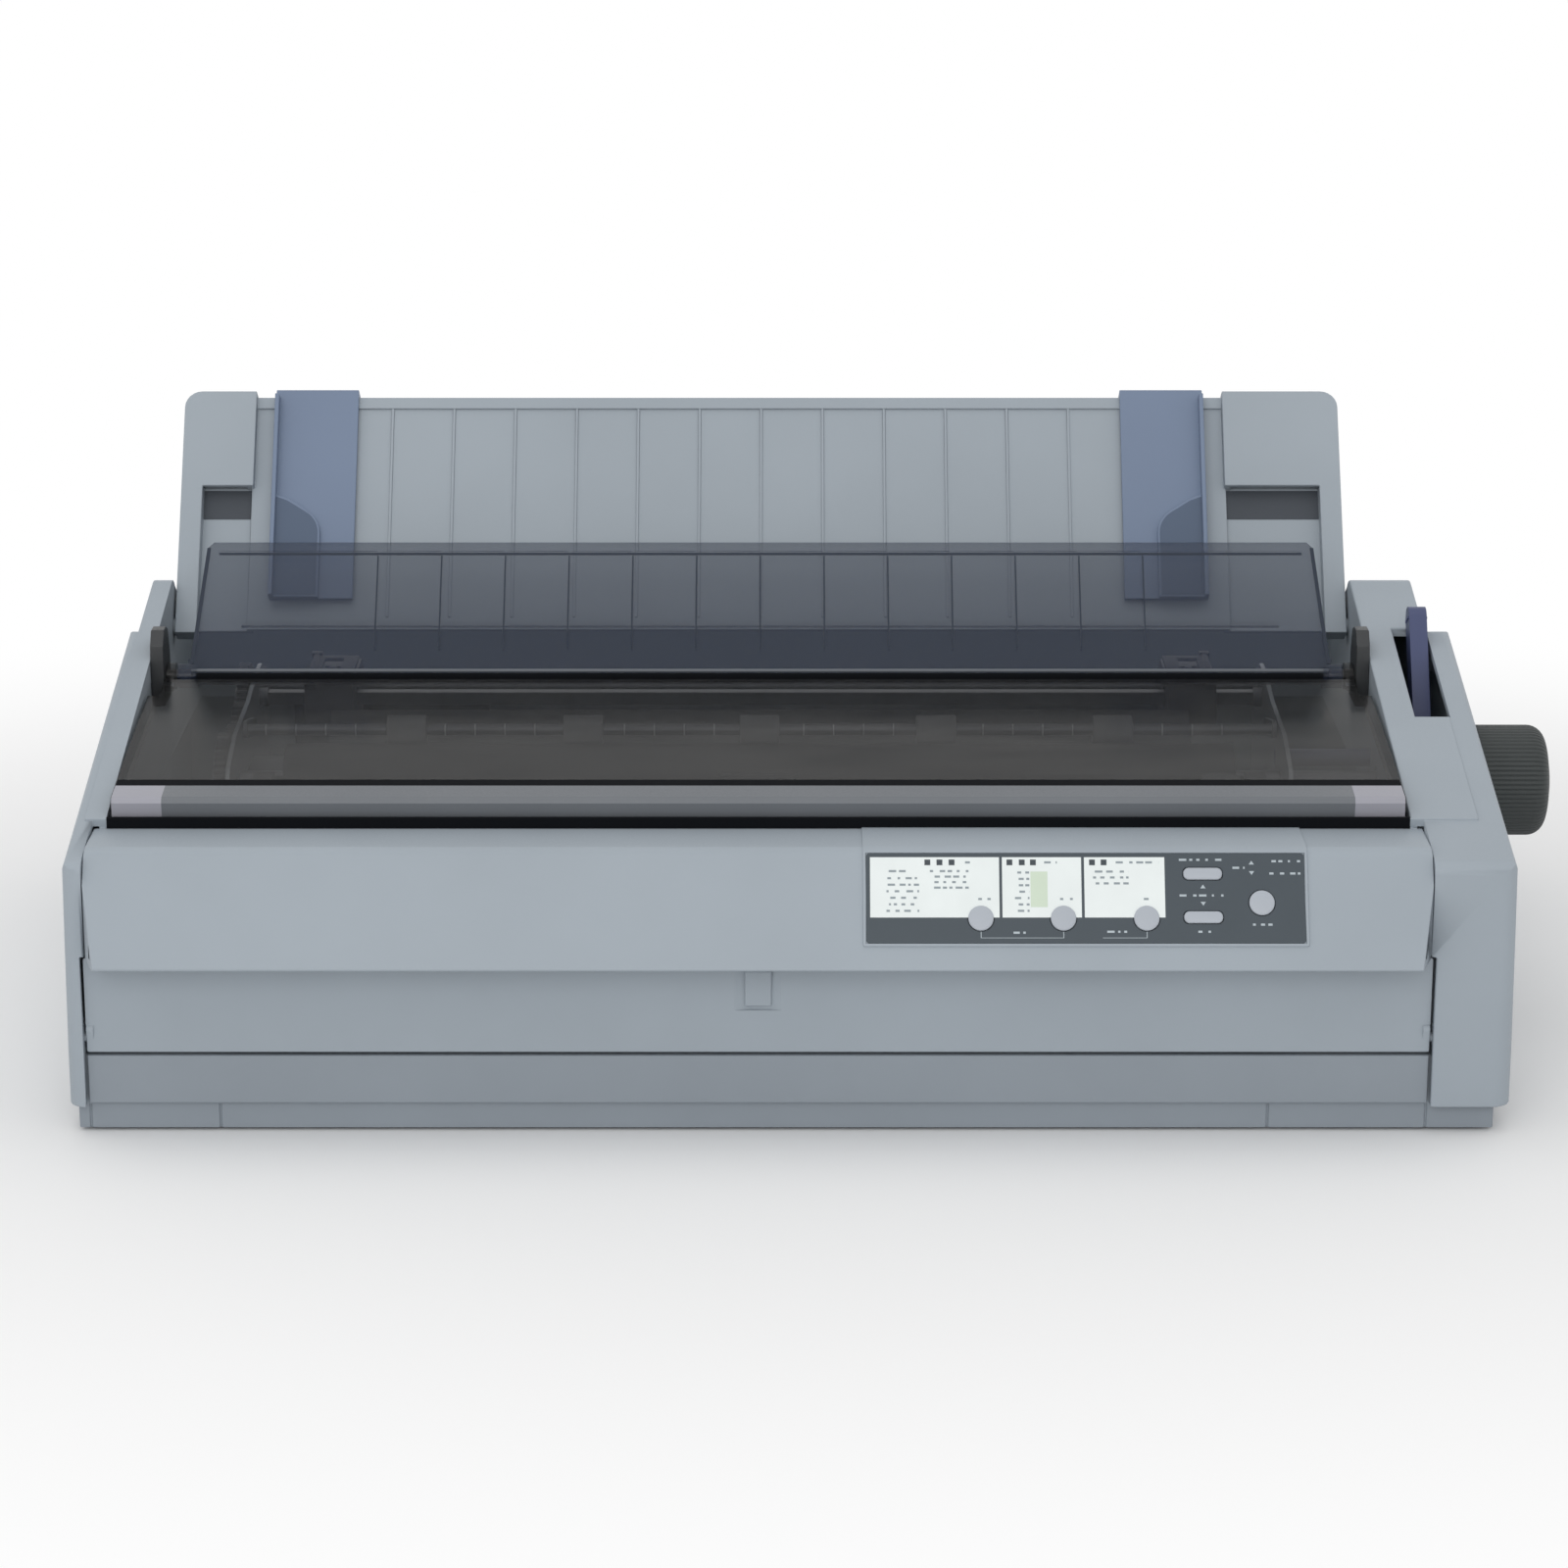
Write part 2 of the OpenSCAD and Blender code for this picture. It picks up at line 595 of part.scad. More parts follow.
// ---- Smoke covers --------------------------------------------------------------------------

module hinge_brackets() color(near_black) placed() both_sides() {
    along_x(well_x - bracket_t, well_x) polygon([[hinge_y - 9, hinge_z - 12], [hinge_y + 13, hinge_z - 12],
        [hinge_y + 13, hinge_z + 8], [hinge_y + 9, hinge_z + 20], [hinge_y + 4, hinge_z + 22],
        [hinge_y - 3, hinge_z + 22], [hinge_y - 8, hinge_z + 16], [hinge_y - 9, hinge_z + 8]]);
    rod_x(lid_ear_x - lid_ear_w + 2, well_x - bracket_t + 0.5, [hinge_y, hinge_z], pin_r);
}

module printer_cover() color(smoke) placed() {
    plate_y1 = -ear_r - 4;
    low_h = cover_top_h - smoke_t;
    on_cover() {
        box(-cover_x, cover_x, -cover_len + 2, -cover_notch, low_h, cover_top_h);
        box(-cover_ear_x, cover_ear_x, -cover_notch - 1, plate_y1, low_h, cover_top_h);
        // Front lip and side skirts
        along_x(-cover_x, cover_x) polygon([[-cover_len + 2.5, cover_top_h],
            [-cover_len + 1, cover_top_h - 0.5], [-cover_len, cover_top_h - 2],
            [-cover_len, low_h - 8.5], [-cover_len + smoke_t, low_h - 8.5], [-cover_len + smoke_t, low_h]]);
        both_sides()
            box(cover_x - smoke_t, cover_x, -cover_len + 1, -cover_notch, low_h - skirt_h, low_h + 0.5);
        // Stiffening rib behind the lip
        box(-cover_x + 12, cover_x - 12, -cover_len + 18, -cover_len + 19.5, low_h - 2, low_h + 0.5);
    }
    both_sides() difference() {
        union() {
            rod_x(cover_ear_x - 4, cover_ear_x, [hinge_y, hinge_z], ear_r);
            on_cover() box(cover_ear_x - 4, cover_ear_x, plate_y1 - 2, -pin_r, -3, cover_top_h);
        }
        rod_x(cover_ear_x - 5, cover_ear_x + 1, [hinge_y, hinge_z], pin_r + run);
    }
}

module rear_lid() color(smoke) placed() {
    half = lid_w / 2;
    taper = 5;
    on_lid() {
        translate([0, 0, -smoke_t / 2]) linear_extrude(smoke_t) polygon([[-half, 5], [half, 5],
            [half - taper, lid_len - 3], [half - taper - 3, lid_len], [-half + taper + 3, lid_len],
            [-half + taper, lid_len - 3]]);
        // Top bead, step band and the ribs that the paper slides over
        box(-half + 9, half - 9, lid_len - 3, lid_len - 0.2, -smoke_t / 2 - 1, 0);
        box(-half + 22, half - 22, 26, 28, -smoke_t / 2 - 3, 0);
        for (i = [-6 : 6])
            box(i * rib_pitch - 0.6, i * rib_pitch + 0.6, 14, lid_len - 2, -smoke_t / 2 - 1.5, 0);
    }
    rod_x(-lid_ear_x + lid_ear_w - 0.5, lid_ear_x - lid_ear_w + 0.5, [hinge_y, hinge_z], 4);
    on_lid() box(-lid_ear_x + lid_ear_w, lid_ear_x - lid_ear_w, 3, 6, -smoke_t / 2, smoke_t / 2);
    both_sides() difference() {
        union() {
            rod_x(lid_ear_x - lid_ear_w, lid_ear_x, [hinge_y, hinge_z], ear_r - 0.5);
            on_lid() box(lid_ear_x - lid_ear_w, lid_ear_x - 4, 3.5, 8, -smoke_t / 2, smoke_t / 2);
        }
        rod_x(lid_ear_x - lid_ear_w + 1.8, lid_ear_x + 1, [hinge_y, hinge_z], pin_r + run);
    }
}

// ---- Sheet guide ---------------------------------------------------------------------------

// Pivots of the sheet guide, or with clearance the holes for them
module sheet_guide_pivots(clear, r) both_sides()
    rod_x(well_x - 2.5 - clear, well_x + wall + (clear > 0 ? over : -0.3), [guide_y, guide_z], r + clear);

module guide_pad(x0, x1) difference() {
    translate([0, 0, -4]) linear_extrude(10) polygon(x0 < 0
        ? concat([[x1, pad_s0], [x1, guide_len]], arc(x0 + 8, guide_len - 8, 8, 90, 180), [[x0, pad_s0]])
        : concat([[x0, pad_s0], [x0, guide_len]], arc(x1 - 8, guide_len - 8, 8, 90, 0), [[x1, pad_s0]]));
    box(x0 + wall, x1 - wall, pad_s0 - over, guide_len - wall, -1.8, 3.8);
}

module sheet_guide() color(case_grey) placed() {
    on_guide() {
        box(left_pad_x - 1, right_pad_x + 1, -2, rail_s0 + 1, -guide_t / 2, guide_t / 2);
        box(-guide_x + 9, left_pad_x, -2, pad_s0 + 1, -4, -4 + guide_t);
        box(right_pad_x, guide_x - 9, -2, pad_s0 + 1, -4, -4 + guide_t);
        box(left_pad_x - 1, left_pad_x + 2, -2, guide_len - 6, -4, guide_t / 2);
        box(right_pad_x - 2, right_pad_x + 1, -2, guide_len - 6, -4, guide_t / 2);
        box(left_pad_x - 1, right_pad_x + 1, rail_s0, rail_s1, -guide_t / 2 - 0.5, guide_t / 2 + 1);
        for (i = [-6 : 5]) box(i * rib_pitch - 0.6, i * rib_pitch + 0.6, 4, rail_s0, 0, guide_t / 2 + 0.8);
        guide_pad(-guide_x, left_pad_x);
        guide_pad(right_pad_x, guide_x);
        both_sides() box(guide_x - 10, guide_x, -5, pad_s0 + 1, -4, 6);
    }
    sheet_guide_pivots(0, 4);
}

// An edge guide drawn with its fence at the left
module edge_guide() on_guide() {
    face_h = guide_t / 2 + 1 + air;
    box(0, edge_w, edge_s0, guide_len + 1, face_h, face_h + 2.2);
    box(0, edge_w, rail_s1 + air, guide_len + 1, -guide_t / 2 - 3, face_h + 0.5);
    box(4, edge_w - 4, rail_s0 - 3, guide_len, -guide_t / 2 - 3, -guide_t / 2 - 0.5 - air);
    box(0, 2, edge_s0, guide_len - 3, face_h, face_h + 8);
    // Thick lower end with its stepped round outline
    translate([0, 0, face_h]) linear_extrude(5) polygon(concat([[0, edge_s0], [0, edge_s0 + 52],
        [8, edge_s0 + 49]], arc(10, edge_s0 + 32, 13, 60, 0, 4), [[23, edge_s0]]));
}

module edge_guide_left() color(blue_grey) placed() translate([left_edge_x, 0, 0]) edge_guide();

module edge_guide_right() color(blue_grey) placed()
    translate([right_edge_x, 0, 0]) mirror([1, 0, 0]) edge_guide();

// ---- Control panel -------------------------------------------------------------------------

module panel_overlay() color([0.32, 0.36, 0.40]) placed() difference() {
    on_nose((panel_x0 + panel_x1) / 2, (panel_t0 + panel_t1) / 2)
        linear_extrude(overlay_t) round_rect(panel_x1 - panel_x0, panel_t1 - panel_t0, 1.5);
    button_holes(0.35, -over, over);
}

module panel_board() color(board_green) placed() {
    on_nose((panel_x0 + panel_x1) / 2, 22, board_h)
        linear_extrude(board_t) square([panel_x1 - panel_x0, 36], center = true);
    on_nose(panel_x0 + 70, 14, board_h - 4) linear_extrude(4.1) square([22, 7], center = true);
}

module button(kind, at) {
    on_nose(at[0], at[1], -wall - air - 1) linear_extrude(wall + air + overlay_t + 1) button_shape(kind, 0);
    on_nose(at[0], at[1], overlay_t + air - 0.4) linear_extrude(0.9) button_shape(kind, -0.5);
    on_nose(at[0], at[1], -wall - air - 1.8) linear_extrude(1.8) button_shape(kind, 1.4);
    on_nose(at[0], at[1], board_h + board_t + 1.3) cylinder(h = 3.5, r = 1.8);
}

module select_button(i) color(button_grey) placed() button("round", round_buttons[i]);
module select_button_1() select_button(0);
module select_button_2() select_button(1);
module select_button_3() select_button(2);
module pause_button() select_button(3);
module feed_button(i) color(button_grey) placed() button("bar", bar_buttons[i]);
module feed_button_upper() feed_button(0);
module feed_button_lower() feed_button(1);

module power_switch() color(near_black) placed() {
    tip = switch_h / 2 - 1.4;
    side = switch_w / 2 - 0.7;
    along_y(switch_y - side, switch_y + side) polygon([[left_x + 8, switch_z - 4],
        [left_x + 0.2, switch_z - tip], [left_x + 1.6, switch_z], [left_x + 0.2, switch_z + tip],
        [left_x + 8, switch_z + 4]]);
    switch_pin(switch_w + 3.4, 1.5);
}

// ---- Chassis -------------------------------------------------------------------------------

module frame_profile() difference() {
    polygon([[chassis_y0, chassis_z], [chassis_y0, cartridge_z0], [102, cartridge_z0], [114, 128],
        [140, 136], [190, 138], [222, 143], [240, 143], [chassis_y1, 134], [chassis_y1, chassis_z]]);
    translate([rod_y, rod_z]) circle(r = rod_r);
    translate(platen_axis) circle(r = shaft_r + run);
    translate(drive_axis) circle(r = drive_journal_r + run);
    translate([guide_shaft_y, drive_axis[1]]) circle(r = shaft_r);
    translate(bail_axis) circle(r = 3 + run);
    // Lightening window low in the plate
    translate([205, 55]) round_rect(60, 44, 8);
}

module left_frame() color(steel) placed() {
    along_x(-frame_x - frame_t, -frame_x) difference() {
        frame_profile();
        translate(pinion_axis) circle(r = 9);
    }
    for (at = [idler_axis, second_axis]) rod_x(gear_x0 - 2, -frame_x - frame_t, at, stud_r);
}

module right_frame() color(steel) placed() along_x(frame_x, frame_x + frame_t) difference() {
    frame_profile();
    translate(release_axis) circle(r = shaft_r + run);
}

module base_plate() color(steel) placed() {
    difference() {
        box(-frame_x, frame_x, chassis_y0, chassis_y1, chassis_z, chassis_z + 2);
        for (p = screw_points) rod_z(p[0], p[1], chassis_z - over, chassis_z + 3, 2.2);
    }
    rod_z(-pulley_x, belt_y, chassis_z + 1, belt_z0 - 1.5, 5);
    rod_z(-pulley_x, belt_y, belt_z0 - 2, belt_z1 + 2, 2.5);
}

module chassis_screws() color(steel) placed() for (p = screw_points) {
    rod_z(p[0], p[1], 8.5, chassis_z + 2.1, 2);
    rod_z(p[0], p[1], chassis_z + 2, chassis_z + 4.2, 4);
}

module carriage_rail() color(steel) placed() {
    box(-frame_x, frame_x, 52, 68, rod_z - 3, rod_z - 1);
    box(-frame_x, frame_x, 52, 54, rod_z - 22, rod_z - 1);
}

module guide_rod() color(steel) placed()
    rod_x(-frame_x - frame_t - 11, frame_x + frame_t + 2, [rod_y, rod_z], rod_r);

module carriage() color(near_black) placed() difference() {
    union() {
        rod_x(-30, 30, [rod_y, rod_z], rod_r + 4);
        box(-30, 30, 72, 118, 96, 103);
        box(-24, 24, 58, 92, 84, 96.5);
        // Tongue that grips the belt
        box(-8, 8, belt_y - pulley_r + 0.1, belt_y - 3, belt_z0 + 1, 85);
    }
    rod_x(-31, 31, [rod_y, rod_z], rod_r + run);
    box(-31, 31, 50, 70.5, rod_z - 3 - air, rod_z - 1 + air);
}

module print_head() color([0.20, 0.20, 0.22]) placed() {
    box(-15, 15, 104, 118, 103, 124);
    for (i = [0 : 4]) box(-17, 17, 99, 117, 105 + i * 4, 106.6 + i * 4);
    box(-17, 17, 112, 118, 103, 125);
    along_x(-6, 6) polygon([[117.5, 105], [strike_y - 2.4, 109], [strike_y - 2.4, 119], [117.5, 123]]);
}

module ribbon_cartridge() color(near_black) placed() {
    z1 = cartridge_z1;
    difference() {
        along_x(-cartridge_x, cartridge_x) polygon([[52, cartridge_z0 + 1], [53, cartridge_z0],
            [96, cartridge_z0], [96, z1 - 3], [93, z1], [55, z1], [52, z1 - 3]]);
        // Finger recesses along the top
        for (x = [-1, 0, 1] * (cartridge_x - 72)) box(x - 30, x + 30, 62, 84, z1 - 1.5, z1 + over);
    }
    both_sides() {
        box(cartridge_x - 9, cartridge_x, 95, ribbon_y, cartridge_z0 - 6, cartridge_z0 + 11);
        box(cartridge_x - 1, frame_x + frame_t, 66, 82, cartridge_z0, cartridge_z0 + 4);
    }
    rod_z(ribbon_knob_at[0], ribbon_knob_at[1], z1 - 1, z1 + 1.5, 4);
}

module ribbon() color(near_black) placed()
    box(-cartridge_x, cartridge_x, ribbon_y, ribbon_y + ribbon_t, cartridge_z0 - 4, cartridge_z0 + 9);

module ribbon_knob() color(knob_grey) placed() translate(concat(ribbon_knob_at, cartridge_z1 + air))
    difference() {
        linear_extrude(4.5) polygon([for (i = [0 : 35]) let (r = i % 2 == 0 ? 9 : 8.2)
            [r * cos(i * 10), r * sin(i * 10)]]);
        translate([0, 0, -over]) cylinder(h = 3, r = 4 + run);
    }

module belt_loop(r) {
    square([2 * pulley_x, 2 * r], center = true);
    for (x = [-1, 1]) translate([x * pulley_x, 0]) circle(r = r);
}

module drive_belt() color(near_black) placed() translate([0, belt_y, belt_z0])
    linear_extrude(belt_z1 - belt_z0) difference() {
        belt_loop(pulley_r + air + 1.2);
        belt_loop(pulley_r + air);
    }

module carriage_motor() color(motor_grey) placed() difference() {
    union() {
        rod_z(pulley_x, belt_y, chassis_z + 2, belt_z0 - 8, 19);
        rod_z(pulley_x, belt_y, belt_z0 - 8.5, belt_z0 - 5, 6);
    }
    rod_z(pulley_x, belt_y, belt_z0 - 20, belt_z0, 2 + run);
}

module pulley(bore_r) difference() {
    union() {
        cylinder(h = belt_z1 - belt_z0 + 2, r = pulley_r);
        cylinder(h = 0.8, r = pulley_r + 2.2);
        translate([0, 0, belt_z1 - belt_z0 + 1.2]) cylinder(h = 0.8, r = pulley_r + 2.2);
    }
    translate([0, 0, -over]) cylinder(h = 12, r = bore_r);
}

module motor_pulley() color(gear_white) placed() {
    translate([pulley_x, belt_y, belt_z0 - 1]) pulley(1.9);
    rod_z(pulley_x, belt_y, belt_z0 - 18, belt_z1 + 2, 2);
}

module idler_pulley() color(gear_white) placed()
    translate([-pulley_x, belt_y, belt_z0 - 1]) pulley(2.5 + run);

// ---- Paper feed ----------------------------------------------------------------------------

module platen_shaft() color(steel) placed() rod_x(gear_x0 - 3, right_x + 20, platen_axis, shaft_r);

module platen() color([0.10, 0.10, 0.11]) placed() difference() {
    rod_x(-platen_x, platen_x, platen_axis, platen_r);
    rod_x(-platen_x - over, platen_x + over, platen_axis, shaft_r);
}

module platen_knob() color(knob_grey) placed() translate([right_x + 0.3, shaft_y, shaft_z])
    rotate([90, 0, 90]) difference() {
        intersection() {
            rotate_extrude() polygon(concat([[0, 0], [knob_r - 1.5, 0], [knob_r, 2]],
                arc(knob_r - 8, knob_reach - 0.3 - 10, 8, 0, 70, 5), [[0, knob_reach - 0.3]]));
            linear_extrude(60) polygon([for (i = [0 : 143])
                let (r = i % 3 == 0 ? knob_r - 0.9 : knob_r + 0.1) [r * cos(i * 2.5), r * sin(i * 2.5)]]);
        }
        translate([0, 0, -over]) cylinder(h = 20.7, r = shaft_r);
    }

module platen_gear() color(gear_white) placed() feed_gear(platen_teeth, platen_axis, 0, shaft_r);
module idler_gear() color(gear_white) placed()
    feed_gear(idler_teeth, idler_axis, idler_turn, stud_r + run);
module tractor_idler_gear() color(gear_white) placed()
    feed_gear(idler_teeth, second_axis, second_turn, stud_r + run);
module tractor_gear() color(gear_white) placed()
    feed_gear(tractor_teeth, drive_axis, tractor_turn, drive_journal_r);

module feed_motor() color(motor_grey) placed() difference() {
    union() {
        rod_x(-frame_x + 1.5, -frame_x + 30, pinion_axis, 17);
        rod_x(-frame_x, -frame_x + 2, pinion_axis, 14);
    }
    rod_x(-frame_x - over, -frame_x + 15, pinion_axis, 2 + run);
}

module feed_pinion() color(steel) placed() {
    feed_gear(pinion_teeth, pinion_axis, pinion_turn, 1.9);
    rod_x(gear_x0 - 1, -frame_x + 13, pinion_axis, 2);
}

module paper_bail() color(steel) placed() {
    both_sides() {
        link(frame_x - 3, frame_x - 1, bail_axis, bail_pos, 4);
        rod_x(frame_x - 2, frame_x + frame_t, bail_axis, 3);
    }
    rod_x(-frame_x + 2, frame_x - 2, bail_pos, bail_rod_r);
}

module bail_rollers() color([0.30, 0.30, 0.31]) placed()
    for (i = [-2 : 2]) translate([i * bail_pitch, 0, 0]) difference() {
        rod_x(-bail_roller_w / 2, bail_roller_w / 2, bail_pos, bail_roller_r);
        rod_x(-bail_roller_w, bail_roller_w, bail_pos, bail_rod_r);
    }

module tractor_drive_shaft() color(steel) placed() {
    rod_x(gear_x0 - 2, -frame_x + 4, drive_axis, drive_journal_r);
    rod_x(frame_x - 4, frame_x + frame_t + 2, drive_axis, drive_journal_r);
    translate([-frame_x + 3, drive_axis[0] - square / 2, drive_axis[1] - square / 2])
        cube([2 * frame_x - 6, square, square]);
}

module tractor_guide_shaft() color(steel) placed()
    rod_x(-frame_x - frame_t - 1, frame_x + frame_t + 1, [guide_shaft_y, drive_axis[1]], shaft_r);

// A pin on the hinge line of a tractor's flap, its ends counted from the ends of the flap
module flap_pin(d0, d1, r)
    translate([flap_hinge[0], flap_y0 + d0, flap_hinge[1]]) rotate([-90, 0, 0])
        cylinder(h = flap_y1 + d1 - flap_y0 - d0, r = r);

// A tractor drawn round its own middle, with its flap hinge at the left
module tractor() difference() {
    union() {
        link(-tractor_w / 2, tractor_w / 2, [drive_axis[0] - 14, drive_axis[1]],
            [guide_shaft_y + 2, drive_axis[1]], tractor_r);
        for (y = [flap_y0, flap_y1 - 4])
            box(-tractor_w / 2, -tractor_w / 2 + 5, y, y + 4, drive_axis[1], flap_z + 2.2);
    }
    rod_x(-4.4, 4.4, drive_axis, pin_tip_r + 1);
    rod_x(-tractor_w, tractor_w, drive_axis, drive_journal_r + 0.2);
    rod_x(-tractor_w, tractor_w, [guide_shaft_y, drive_axis[1]], shaft_r + run);
    flap_pin(-over, over, flap_pin_r + run);
    // Room for the flap over the paper
    box(-tractor_w / 2 + 4.7, tractor_w, flap_y0 - 1, flap_y1 + 1, flap_z - 1, flap_z + 5);
}

module tractor_sprocket() difference() {
    union() {
        rod_x(-3.8, 3.8, drive_axis, tractor_r - 1.6);
        for (i = [0 : pin_count - 1]) translate([0, drive_axis[0], drive_axis[1]])
            rotate([i * 360 / pin_count, 0, 0]) cylinder(h = pin_tip_r, r = 1.7);
    }
    translate([0, drive_axis[0], drive_axis[1]])
        cube([20, square + 2 * run, square + 2 * run], center = true);
}

module tractor_flap() {
    ear = 4 + air;                            // an ear of the tractor at each end, with its gap
    difference() {
        box(-tractor_w / 2 + 5, tractor_w / 2, flap_y0 + ear, flap_y1 - ear, flap_z - 0.7,
            flap_z - 0.7 + flap_t);
        box(-4.4, 4.4, drive_axis[0] - 9, drive_axis[0] + 9, flap_z - over, flap_z + 3);
    }
    flap_pin(ear, -ear, 1.7);
    box(flap_hinge[0], -tractor_w / 2 + 6, flap_y0 + ear, flap_y1 - ear, flap_z - 0.7, flap_z + 1.1);
    flap_pin(0.4, -0.4, flap_pin_r);
}

module tractor_left() color(near_black) placed() translate([-tractor_x, 0, 0]) tractor();
module tractor_right() color(near_black) placed()
    translate([tractor_x, 0, 0]) mirror([1, 0, 0]) tractor();
module tractor_sprocket_left() color(gear_white) placed()
    translate([-tractor_x, 0, 0]) tractor_sprocket();
module tractor_sprocket_right() color(gear_white) placed()
    translate([tractor_x, 0, 0]) tractor_sprocket();
module tractor_cover_left() color(near_black) placed() translate([-tractor_x, 0, 0]) tractor_flap();
module tractor_cover_right() color(near_black) placed()
    translate([tractor_x, 0, 0]) mirror([1, 0, 0]) tractor_flap();

module release_lever() color(dark_blue) placed() {
    tip = turn_to(release_axis, lever_reach, lever_angle);
    link(lever_x0, lever_x0 + lever_w, release_axis, tip, 6);
    rod_x(frame_x, lever_x0 + lever_w, release_axis, shaft_r);
    rod_x(lever_x0 - 2, lever_x0 + lever_w, release_axis, 8);
    for (i = [-1 : 1])
        rod_x(lever_x0 - 0.5, lever_x0 + lever_w + 0.5, turn_to(tip, 3 * i, lever_angle + 90), 0.8);
}

module thickness_lever() color(blue_grey) placed() difference() {
    union() {
        rod_x(gear_x0, gear_x0 + 4, [rod_y, rod_z], rod_r + 4);
        link(gear_x0, gear_x0 + 4, [rod_y, rod_z], [84, 126], 4);
    }
    rod_x(gear_x0 - over, gear_x0 + 6, [rod_y, rod_z], rod_r + run);
}

// Trough round the underside of the platen with a ramp behind it, on tabs that reach the frames
module lower_paper_guide() color(near_black) placed() {
    inner_r = platen_r + 1.8;
    outer_r = inner_r + 1.4;
    along_x(15 - platen_x, platen_x - 15) polygon(concat(
        arc(shaft_y, shaft_z, inner_r, 205, 335, 16), [[198, 132], [199, 131]],
        arc(shaft_y, shaft_z, outer_r, 335, 205, 16)));
    along_x(-frame_x, frame_x) polygon(concat(arc(shaft_y, shaft_z, inner_r, 240, 300),
        arc(shaft_y, shaft_z, outer_r, 300, 240)));
}

// ---- Electronics ---------------------------------------------------------------------------

module main_board() color(board_green) placed() {
    translate([main_board_x, rear_y, main_board_z]) {
        box(0, 210, -95, -12, 0, board_t);
        // Two large chips and a row of capacitors
        box(125, 155, -80, -50, board_t, 5);
        box(45, 85, -75, -60, board_t, 5);
        for (i = [0 : 3]) rod_z(20 + i * 12, -85, board_t, 16, 4);
    }
}

module power_supply() color(board_green) placed() {
    translate([supply_x, rear_y, supply_z]) {
        box(0, 150, -92, -12, 0, board_t);
        // Transformer, two large capacitors and a heat sink
        box(85, 135, -80, -35, board_t, 42);
        for (y = [-76, -46]) rod_z(65, y, board_t, 33, 12);
        box(8, 14, -85, -48, board_t, 38);
    }
}

module interface_connectors() color(steel) placed() difference() {
    union() {
        along_y(rear_y - 14, rear_y - 0.5) translate([parallel_x, parallel_z])
            round_rect(parallel_size[0], parallel_size[1], 2);
        box(parallel_x - 30, parallel_x + 30, rear_y - 20, rear_y - 14, main_board_z + board_t,
            parallel_z + 5);
        along_y(rear_y - 19, rear_y - 0.5) translate([usb_x, usb_z]) square(usb_size, center = true);
    }
    along_y(rear_y - 8, rear_y + over) translate([parallel_x, parallel_z]) round_rect(56, 7, 2);
    along_y(rear_y - 12, rear_y + over) translate([usb_x, usb_z]) square([8.6, 7.8], center = true);
}

module mains_inlet() color(near_black) placed() {
    difference() {
        along_y(rear_y - 24, rear_y - 0.5) translate([inlet_x, inlet_z])
            round_rect(inlet_size[0], inlet_size[1], 2);
        along_y(rear_y - 16, rear_y + over) translate([inlet_x, inlet_z]) polygon([[-12, -8], [12, -8],
            [12, 4], [8, 8], [-8, 8], [-12, 4]]);
    }
    for (x = [-7, 0, 7]) box(inlet_x + x - 1, inlet_x + x + 1, rear_y - 17, rear_y - 5, inlet_z - 4, inlet_z);
    along_y(rear_y - 40, rear_y - 24) translate([inlet_x, inlet_z]) square([8, 10], center = true);
}

lower_case();
rubber_feet();
upper_case();
front_cover();
printer_cover();
rear_lid();
hinge_brackets();
sheet_guide();
edge_guide_left();
edge_guide_right();
panel_overlay();
panel_board();
select_button_1();
select_button_2();
select_button_3();
feed_button_upper();
feed_button_lower();
pause_button();
power_switch();
platen_shaft();
platen();
platen_knob();
platen_gear();
idler_gear();
tractor_idler_gear();
tractor_gear();
feed_motor();
feed_pinion();
left_frame();
right_frame();
base_plate();
carriage_rail();
guide_rod();
carriage();
print_head();
ribbon_cartridge();
ribbon();
ribbon_knob();
drive_belt();
carriage_motor();
motor_pulley();
idler_pulley();
paper_bail();
bail_rollers();
tractor_drive_shaft();
tractor_guide_shaft();
tractor_left();
tractor_right();
tractor_sprocket_left();
tractor_sprocket_right();
tractor_cover_left();
tractor_cover_right();
release_lever();
thickness_lever();
lower_paper_guide();
main_board();
power_supply();
interface_connectors();
mains_inlet();
chassis_screws();
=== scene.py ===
"""Looks of a wide-carriage dot matrix printer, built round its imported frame, in metres.

Places on the printer are given as the part's own drawing gives them: millimetres from the middle of the
paper path, from the front of the side wings and from the table. place() turns them into the row frame.
"""

import json
import math
from functools import partial

import bmesh
import bpy
import numpy as np
from bpy.props import FloatProperty, FloatVectorProperty, IntProperty, PointerProperty
from bpy.types import Operator, Panel, PropertyGroup
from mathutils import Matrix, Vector
from mathutils.bvhtree import BVHTree


